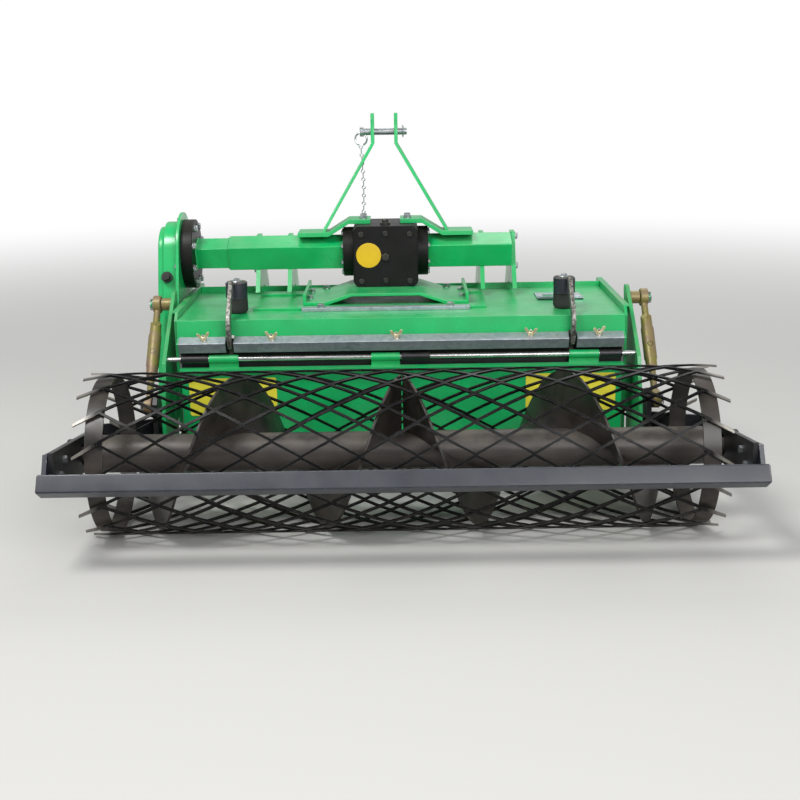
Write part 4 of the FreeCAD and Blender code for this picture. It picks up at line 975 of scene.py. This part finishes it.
@dataclass
class Fastenings:
    """Bolts, nuts, plugs and dark strips of painted shade, with their places in millimetres."""

    cover_y: float = 265.0
    cover_bolts: tuple[Flat, ...] = ((-66, 626), (0, 628), (66, 626), (-66, 498), (0, 500), (66, 498))
    disc: Flat = (-85.0, 569.0)
    gearbox_half: float = 117.0
    boss_y: float = 500.0
    gearbox_top: float = 648.0
    case_x: float = -606.0
    case_rim: float = 103.0
    case_shares: tuple[float, ...] = (0.14, 0.38, 0.62, 0.86)
    flange_x: float = -566.0
    vent: Place = (-632.0, 240.0, 522.0)
    drain: Place = (-662.0, 300.0, 385.0)
    # Each row: half a span about the gearbox's middle, the bolt's size, and Y and Z of its bolts
    saddle_bolts: tuple[tuple[float, float, tuple[Flat, ...]], ...] = (
        (170.0, 11.0, ((117.5, 456), (385, 460))), (206.0, 9.0, ((230, 460), (330, 460))))
    foot_bolts: tuple[Flat, ...] = ((350, 660), (392, 660))
    foot_half: float = 61.0
    hitch_bolts: tuple[Flat, ...] = ((395, 600), (372, 520), (445, 500))
    hitch_half: float = 362.0
    slotted_low: Place = (372.0, 226.0, 446.3)
    slotted_high: Flat = (496.0, 316.0)
    seal_half: float = 564.0
    seal_z: float = 362.0
    strip_seat: Flat = (-24.0, 392.0)
    strip_lean: float = 26.57
    wing_nuts: tuple[Flat, ...] = ((-502, 14), (-329, -8), (-12, 5), (329, -6), (502, 16))
    wing: tuple[Flat, ...] = ((0, -2), (7, 4), (12, 13), (12, 17), (9, 19), (5, 16), (0, 6))
    pin_head_x: float = -103.0
    pin_clip_x: float = 14.0
    chain_top: Place = (-106.0, 488.0, 846.0)
    chain_drop: Place = (0.0, -26.0, -236.0)
    chain_links: int = 22
    side_x: float = 608.0
    side_bolts: tuple[Flat, ...] = ((65, 275), (65, 205), (150, 440), (176, 440))
    bearing_x: float = 590.0
    skid_bolts: tuple[Flat, ...] = ((130, 10), (260, 10), (390, 10))
    skid_x: float = 596.0
    pivot_x: Flat = (632.3, 636.0)
    arm_x: float = 775.0
    arm_bolts: tuple[Flat, ...] = ((-360, 191), (-240, 191))
    bar_plate_x: float = 774.0
    bar_nut_x: Flat = (752.0, 744.0)
    bar_bolts: tuple[Flat, ...] = ((-469, 232), (-506, 208))

    def build(self) -> None:
        """Make each group of fastenings."""
        for group in (self._gearbox, self._chain_case, self._hood, self._seals, self._wing_nuts,
                      self._headstock, self._sides, self._roller_arms):
            group()

    def _gearbox(self) -> None:
        """Bolt the cover, the side flanges and the front boss, and fit the plug and the blank disc."""
        back, x = Axis.Y.vector(-1), GEAR_X
        cover = Workpiece("gearbox_cover_bolts")
        cover.bolts(back, 9, [(x + across, self.cover_y, z) for across, z in self.cover_bolts], False)
        cover.bolt(spot(x, self.cover_y, SHAFT_Z), back, 12, False)
        cover.done(BLACK_OXIDE, "frame", 0.0, HEXAGON)
        piece = Workpiece("gearbox_bolts")
        for side in Side:
            face = x + side.value * self.gearbox_half
            piece.bolts(side.out, 8, [(face, *flat) for flat in round_about(BEAM, 58, 8, 22.5)], False)
        boss = round_about((x, SHAFT_Z), 44, 6, 30)
        piece.bolts(Axis.Y.vector(), 7, [(across, self.boss_y, z) for across, z in boss], False)
        piece.done(ZINC_PLATE, "frame", 0.0, HEXAGON)
        plug = Workpiece("gearbox_plugs")
        plug.turned(spot(x, 300, self.gearbox_top), Axis.Z.vector(),
                    [(0, 16), (7, 16), (9, 13), (9, 6), (14, 6), (14, 0), (0, 0)], 28)
        plug.done(BLACK_PLASTIC, "frame")
        disc = Workpiece("blank_disc")
        disc.turned(spot(self.disc[0], self.cover_y, self.disc[1]), back,
                    [(0, 1.4), (32, 1.4), (33.6, 1.0), (34, 0.2), (0, 0.2)], 48)
        disc.done(YELLOW_DISC, "frame")

    def _chain_case(self) -> None:
        """Bolt the case's rim and the drive flange, and fit the plug and the vent."""
        piece = Workpiece("chain_case_bolts")
        low, high = Vector(ROTOR), Vector(BEAM)
        along = (high - low).normalized()
        side_way = Vector((along.y, -along.x)) * self.case_rim
        places: list[Sequence[float]] = []
        for share in self.case_shares:
            centre = low.lerp(high, share)
            places += [centre + side_way, centre - side_way]
        lean = math.degrees(math.atan2(along.y, along.x)) - 90
        for centre, start in ((low, 180.0), (high, 0.0)):
            places += round_about(centre, self.case_rim, 5, start + lean + 15, 37.5)
        piece.bolts(Side.LEFT.out, 7, [(self.case_x, *flat) for flat in places], False)
        piece.bolts(Side.RIGHT.out, 10, [(self.flange_x, *flat) for flat in round_about(BEAM, 79, 8, 22.5)])
        piece.done(ZINC_PLATE, "frame", 0.0, HEXAGON)
        cap = Workpiece("chain_case_plugs")
        cap.turned(spot(*self.vent), Vector((0, -0.95, 0.31)),
                   [(0, 17), (9, 17), (11, 14), (11, 4), (15, 4), (15, -3), (0, -3)], 28)
        cap.turned(spot(*self.drain), Side.LEFT.out,
                   [(0, 7), (8, 7), (10, 5), (10, 1), (14, 1), (14, 0), (0, 0)], 28)
        cap.done(BLACK_PLASTIC, "frame")

    def _hood(self) -> None:
        """Bolt the saddle and its bar, and lay the slotted plate on the hood."""
        piece = Workpiece("saddle_bolts")
        for half, thread, places in self.saddle_bolts:
            for side in Side:
                x = GEAR_X + side.value * half
                piece.bolts(Axis.Z.vector(), thread, [(x, *flat) for flat in places])
        piece.done(ZINC_PLATE, "frame", 0.0, HEXAGON)
        plate = Workpiece("slotted_plate")
        (left, rear, low), (right, front) = self.slotted_low, self.slotted_high
        # Two long bars, three cross bars and a lip that is turned up at the rear
        for y in (rear, front - 20):
            plate.block((left, y, low), (right, y + 20, low + 4))
        for x in (left, left + 53, right - 18):
            plate.block((x, rear + 0.2, low), (x + 18, front - 0.2, low + 4.3))
        plate.block((left, rear, low), (right, rear + 3, low + 9.7))
        plate.done(GALVANISED, "frame", 0.6, PANEL)

    def _seals(self) -> None:
        """Hang dark strips with the rubber finish behind the hinge and behind the comb's arms: painted shade
        that closes the gaps where the white behind would show through.
        """
        shade_strip = Workpiece("hinge_seals")
        top = self.seal_z
        shade_strip.block((-self.seal_half, 25, top - 25.7), (self.seal_half, 29, top))
        for side in Side:
            x = side.value * COMB_ARM_X
            shade_strip.block((x - 17, 20.2, top - 24), (x + 17, 24.2, top + 34))
        shade_strip.done(RUBBER, "frame", 0.6, PANEL)

    def _wing_nuts(self) -> None:
        """Seat a brass wing nut on each stud of the angle strips, each turned its own way."""
        nuts = Workpiece("wing_nuts")
        studs = Workpiece("wing_nut_studs")
        lean, along = math.radians(self.strip_lean), Axis.X.vector()
        out = Vector((0, -math.sin(lean), math.cos(lean)))
        for x, degrees in self.wing_nuts:
            seat = spot(x, *self.strip_seat) + spot(0, math.cos(lean), math.sin(lean)) * 17
            studs.bar(seat, seat + out * 16 * MM, 3.0, 16)
            studs.turned(seat, out, [(0, 1.4), (8.5, 1.4), (9, 0.8), (9, 0), (0, 0)], 24)
            nuts.turned(seat + out * 1.4 * MM, out, [(3.1, 0), (7.5, 0), (6.5, 9), (3.1, 10)], 20)
            turn = math.radians(degrees)
            wing_way = (along * math.cos(turn) + out.cross(along) * math.sin(turn)).normalized()
            side_way = out.cross(wing_way).normalized()
            for sign in (-1, 1):
                root = seat + (out + wing_way * sign) * 4 * MM
                nuts.prism([root + (wing_way * sign * away + out * lift - side_way * 1.7) * MM
                            for away, lift in self.wing], side_way * 3.4 * MM)
        nuts.done(BRASS, "frame", 0.4)
        studs.done(ZINC_PLATE, "frame")

    def _headstock(self) -> None:
        """Bolt the feet and the hitch plates, and fit the top pin's handle and chain."""
        piece = Workpiece("headstock_bolts")
        for side in Side:
            x = GEAR_X + side.value * self.foot_half
            piece.bolts(Axis.Z.vector(), 11, [(x, *flat) for flat in self.foot_bolts])
            x = GEAR_X + side.value * self.hitch_half
            piece.bolts(side.out, 10, [(x, *flat) for flat in self.hitch_bolts])
        piece.done(ZINC_PLATE, "frame", 0.0, HEXAGON)
        handle = Workpiece("top_pin_handle")
        head, clip = spot(self.pin_head_x, *TOP_PIN), spot(self.pin_clip_x, *TOP_PIN)
        handle.turned(head, Side.LEFT.out, [(0, 5), (12, 5), (13.5, 3.5), (13.5, -6), (9.6, -6)], 32)
        handle.ring(head + spot(-2, 0, -20), Vector((0.2, 1, 0)), 17, 2.6)
        handle.bar(clip + spot(0, 0, 15), clip - spot(0, 0, 16), 2.2, 12)
        handle.ring(clip + spot(0, -12, 4), Vector((1, 0, 0.1)), 14, 1.4)
        handle.done(ZINC_PLATE, "frame")
        chain = Workpiece("pin_chain")
        top, drop = spot(*self.chain_top), spot(*self.chain_drop)
        for index in range(self.chain_links):
            share = index / (self.chain_links - 1)
            at = top + drop * share + spot(6 * math.sin(3 * share), 0, 0)
            chain.ring(at, Axis.X.vector() if index % 2 else Axis.Y.vector(), 4.6, 1.3, 12)
        foot = top + drop - spot(0, 0, 4)
        chain.ring(foot, Axis.Y.vector(), 12, 1.6)
        chain.bar(foot + spot(0, 0, -8), foot + spot(3, 0, -46), 2.4, 12)
        chain.done(ZINC_PLATE, "frame", 0.0, 40.0)

    def _sides(self) -> None:
        """Bolt the rotor's bearing, the side plates, the brackets, the skids and the arms' pivots."""
        piece = Workpiece("side_bolts")
        piece.bolts(Side.RIGHT.out, 9, [(self.bearing_x, *flat) for flat in round_about(ROTOR, 54, 4, 45)])
        for side in Side:
            sign = side.value
            piece.bolts(side.out, 9, [(sign * self.side_x, *flat) for flat in self.side_bolts])
            piece.bolts(Axis.Z.vector(), 8, [(sign * self.skid_x, *flat) for flat in self.skid_bolts])
            inner, outer = (spot(sign * x, *ARM_PIVOT) for x in self.pivot_x)
            piece.bar(inner, outer, 24, 32)
            piece.bolt(outer, side.out, 17, False)
        piece.done(ZINC_PLATE, "frame", 0.0, HEXAGON)

    def _roller_arms(self) -> None:
        """Bolt the roller's bearings and the rear bar's end plates, with the nuts inside."""
        piece = Workpiece("roller_arm_bolts")
        for side in Side:
            sign = side.value
            piece.bolts(side.out, 11, [(sign * self.arm_x, *flat) for flat in self.arm_bolts], False)
            piece.bolts(side.out, 10, [(sign * self.bar_plate_x, *flat) for flat in self.bar_bolts], False)
            for flat in self.bar_bolts:
                start, stop = (spot(sign * x, *flat) for x in self.bar_nut_x)
                piece.bar(start, stop, 9, 6)
        piece.done(ZINC_PLATE, "roller_frame", 0.0, HEXAGON)


@dataclass
class Plates:
    """Blank yellow plates on the rear door."""

    spans: tuple[Flat, ...] = ((-547.0, -322.0), (319.0, 550.0))
    low: float = 198.0
    high: float = 297.0
    corner: float = 6.0

    def build(self) -> None:
        """Lay a thin plate with rounded corners on the door for each span."""
        piece = Workpiece("blank_door_plates")
        for start, stop in self.spans:
            left, right = start + self.corner, stop - self.corner
            low, high = self.low + self.corner, self.high - self.corner
            outline = []
            for quarter, centre in enumerate(((right, high), (left, high), (left, low), (right, low))):
                bend = round_about(centre, self.corner, 4, 90.0 * quarter, 30.0)
                outline += [spot(x, -2.2, z) for x, z in bend]
            piece.prism(outline, spot(0, -0.8, 0))
        piece.done(YELLOW_PLATE, "rear_door")


@dataclass
class Welds:
    """Weld beads, drawn as rows of small ripples."""

    ripples: int = 14
    ripple_radius: float = 3.4
    sleeve_joints: tuple[Flat, ...] = ((-475, 62), (-565, 62))
    end_joint: Flat = (312, 70)

    def build(self) -> None:
        """Lay a bead round each joint of the beam's sleeve, and one up the beam's right end."""
        piece = Workpiece("weld_beads")
        for x, side in self.sleeve_joints:
            half = side / 2 + 0.5
            corners = [(-half, -half), (half, -half), (half, half), (-half, half), (-half, -half)]
            for start, stop in zip(corners, corners[1:]):
                self._bead(piece, x, start, stop)
        x, side = self.end_joint
        half = side / 2 + 0.5
        self._bead(piece, x, (half, -half), (half, half))
        piece.done(GREEN_ENAMEL, "frame", 0.0, 80.0)

    def _bead(self, piece: Workpiece, x: float, start: Flat,
              stop: Flat) -> None:
        """Lay ripples between two corners of the beam's section, which leans."""
        lean = Matrix.Rotation(math.radians(BEAM_LEAN), 2)
        for step in range(self.ripples):
            flat = lean @ Vector(start).lerp(Vector(stop), (step + 0.5) / self.ripples)
            at = spot(x, BEAM[0] + flat.x, BEAM[1] + flat.y)
            bmesh.ops.create_icosphere(piece.bm, subdivisions=1, radius=self.ripple_radius * MM,
                                       matrix=Matrix.Translation(at))


@dataclass
class Studio:
    """Pale floor, soft light and the photograph's camera."""

    focal_pixels: float = 1230.0
    picture_pixels: float = 800.0
    sensor: float = 36.0
    stand: Place = (0.0, -3070.0, 1050.0)
    pitch: float = 14.93
    yaw: float = 0.1
    roll: float = 0.9
    floor_colour: str = "#BCBBB8"
    sky_colour: str = "#EEF0F2"
    fade: Flat = (1.8, 6.5)
    aim: Place = (0.0, 0.0, 0.3)
    # Name, place in metres, width in metres, watts
    lamps: tuple[tuple[str, Place, float, float], ...] = (
        ("key_lamp", (-1.9, -2.0, 4.2), 1.6, 165.0), ("fill_lamp", (1.8, -4.4, 2.7), 3.0, 165.0),
        ("back_lamp", (0.8, 3.0, 3.4), 3.0, 50.0),
    )

    def build(self) -> None:
        """Set up the floor, the lamps, the world and the camera."""
        self._floor()
        self._light()
        self._camera()

    def _floor(self) -> None:
        """Lay the pale floor, which fades to white far off so that no horizon shows."""
        bm = bmesh.new()
        bmesh.ops.create_grid(bm, x_segments=1, y_segments=1, size=40.0)
        mesh = bpy.data.meshes.new("studio_floor")
        bm.to_mesh(mesh)
        bm.free()
        floor = bpy.data.objects.new("studio_floor", mesh)
        bpy.context.scene.collection.objects.link(floor)
        made = bpy.data.materials.new("pale_floor")
        made.use_nodes = True
        work = Shading(made.node_tree)
        paper = work.add("ShaderNodeBsdfDiffuse", {"Color": linear(self.floor_colour)})
        white = work.add("ShaderNodeEmission", {"Color": linear("#FFFFFF")})
        # Far off, the floor goes over into the white behind it
        reach = work.add("ShaderNodeVectorMath", {0: work.at}, operation="LENGTH")
        fade = work.ramp(reach.outputs["Value"], *self.fade, interpolation_type="SMOOTHSTEP")
        mixed = work.add("ShaderNodeMixShader", {0: fade, 1: paper.outputs[0], 2: white.outputs[0]})
        work.add("ShaderNodeOutputMaterial", {"Surface": mixed.outputs[0]})
        mesh.materials.append(made)

    def _light(self) -> None:
        """Set the soft lamps and the pale world."""
        for name, place, size, power in self.lamps:
            data = bpy.data.lights.new(name, "AREA")
            data.shape = "DISK"
            data.size = size
            data.energy = power
            lamp = bpy.data.objects.new(name, data)
            lamp.location = place
            lamp.rotation_euler = (Vector(self.aim) - Vector(place)).to_track_quat("-Z", "Y").to_euler()
            bpy.context.scene.collection.objects.link(lamp)
        world = bpy.data.worlds.new("studio_world")
        world.use_nodes = True
        work = Shading(world.node_tree)
        # The camera sees plain white, and the machine gets the softer light
        seen = work.add("ShaderNodeLightPath").outputs["Is Camera Ray"]
        sky = work.add("ShaderNodeBackground", {"Color": linear(self.sky_colour),
                                                "Strength": work.ramp(seen, 0.0, 1.0, 0.55, 1.2)})
        work.add("ShaderNodeOutputWorld", {"Surface": sky.outputs[0]})
        bpy.context.scene.world = world
        bpy.context.scene.view_settings.view_transform = "Standard"

    def _camera(self) -> None:
        """Stand the camera where the photograph was taken."""
        data = bpy.data.cameras.new("photo_camera")
        data.sensor_width = self.sensor
        data.lens = self.focal_pixels / self.picture_pixels * self.sensor
        data.clip_end = 100.0
        camera = bpy.data.objects.new("photo_camera", data)
        turn = Matrix.Identity(4)
        for degrees, axis in ((self.yaw, "Z"), (90 - self.pitch, "X"), (-self.roll, "Z")):
            turn = turn @ Matrix.Rotation(math.radians(degrees), 4, axis)
        camera.matrix_world = Matrix.Translation(spot(*self.stand)) @ turn
        bpy.context.scene.collection.objects.link(camera)
        bpy.context.scene.camera = camera


def main() -> None:
    """Build the machine's sub-assemblies in order, then the studio."""
    logging.basicConfig(level=logging.INFO, format="%(name)s: %(message)s")
    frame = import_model()
    assemblies: list[Any] = [
        Panels(frame), RoundBars(), Roller(), RearBar(), *(Turnbuckle(side) for side in Side), Buffers(),
        Fastenings(), Plates(), Welds(), Studio()]
    for assembly in assemblies:
        assembly.build()
        log.info("%s is built", type(assembly).__name__)


if __name__ == "__main__":
    main()
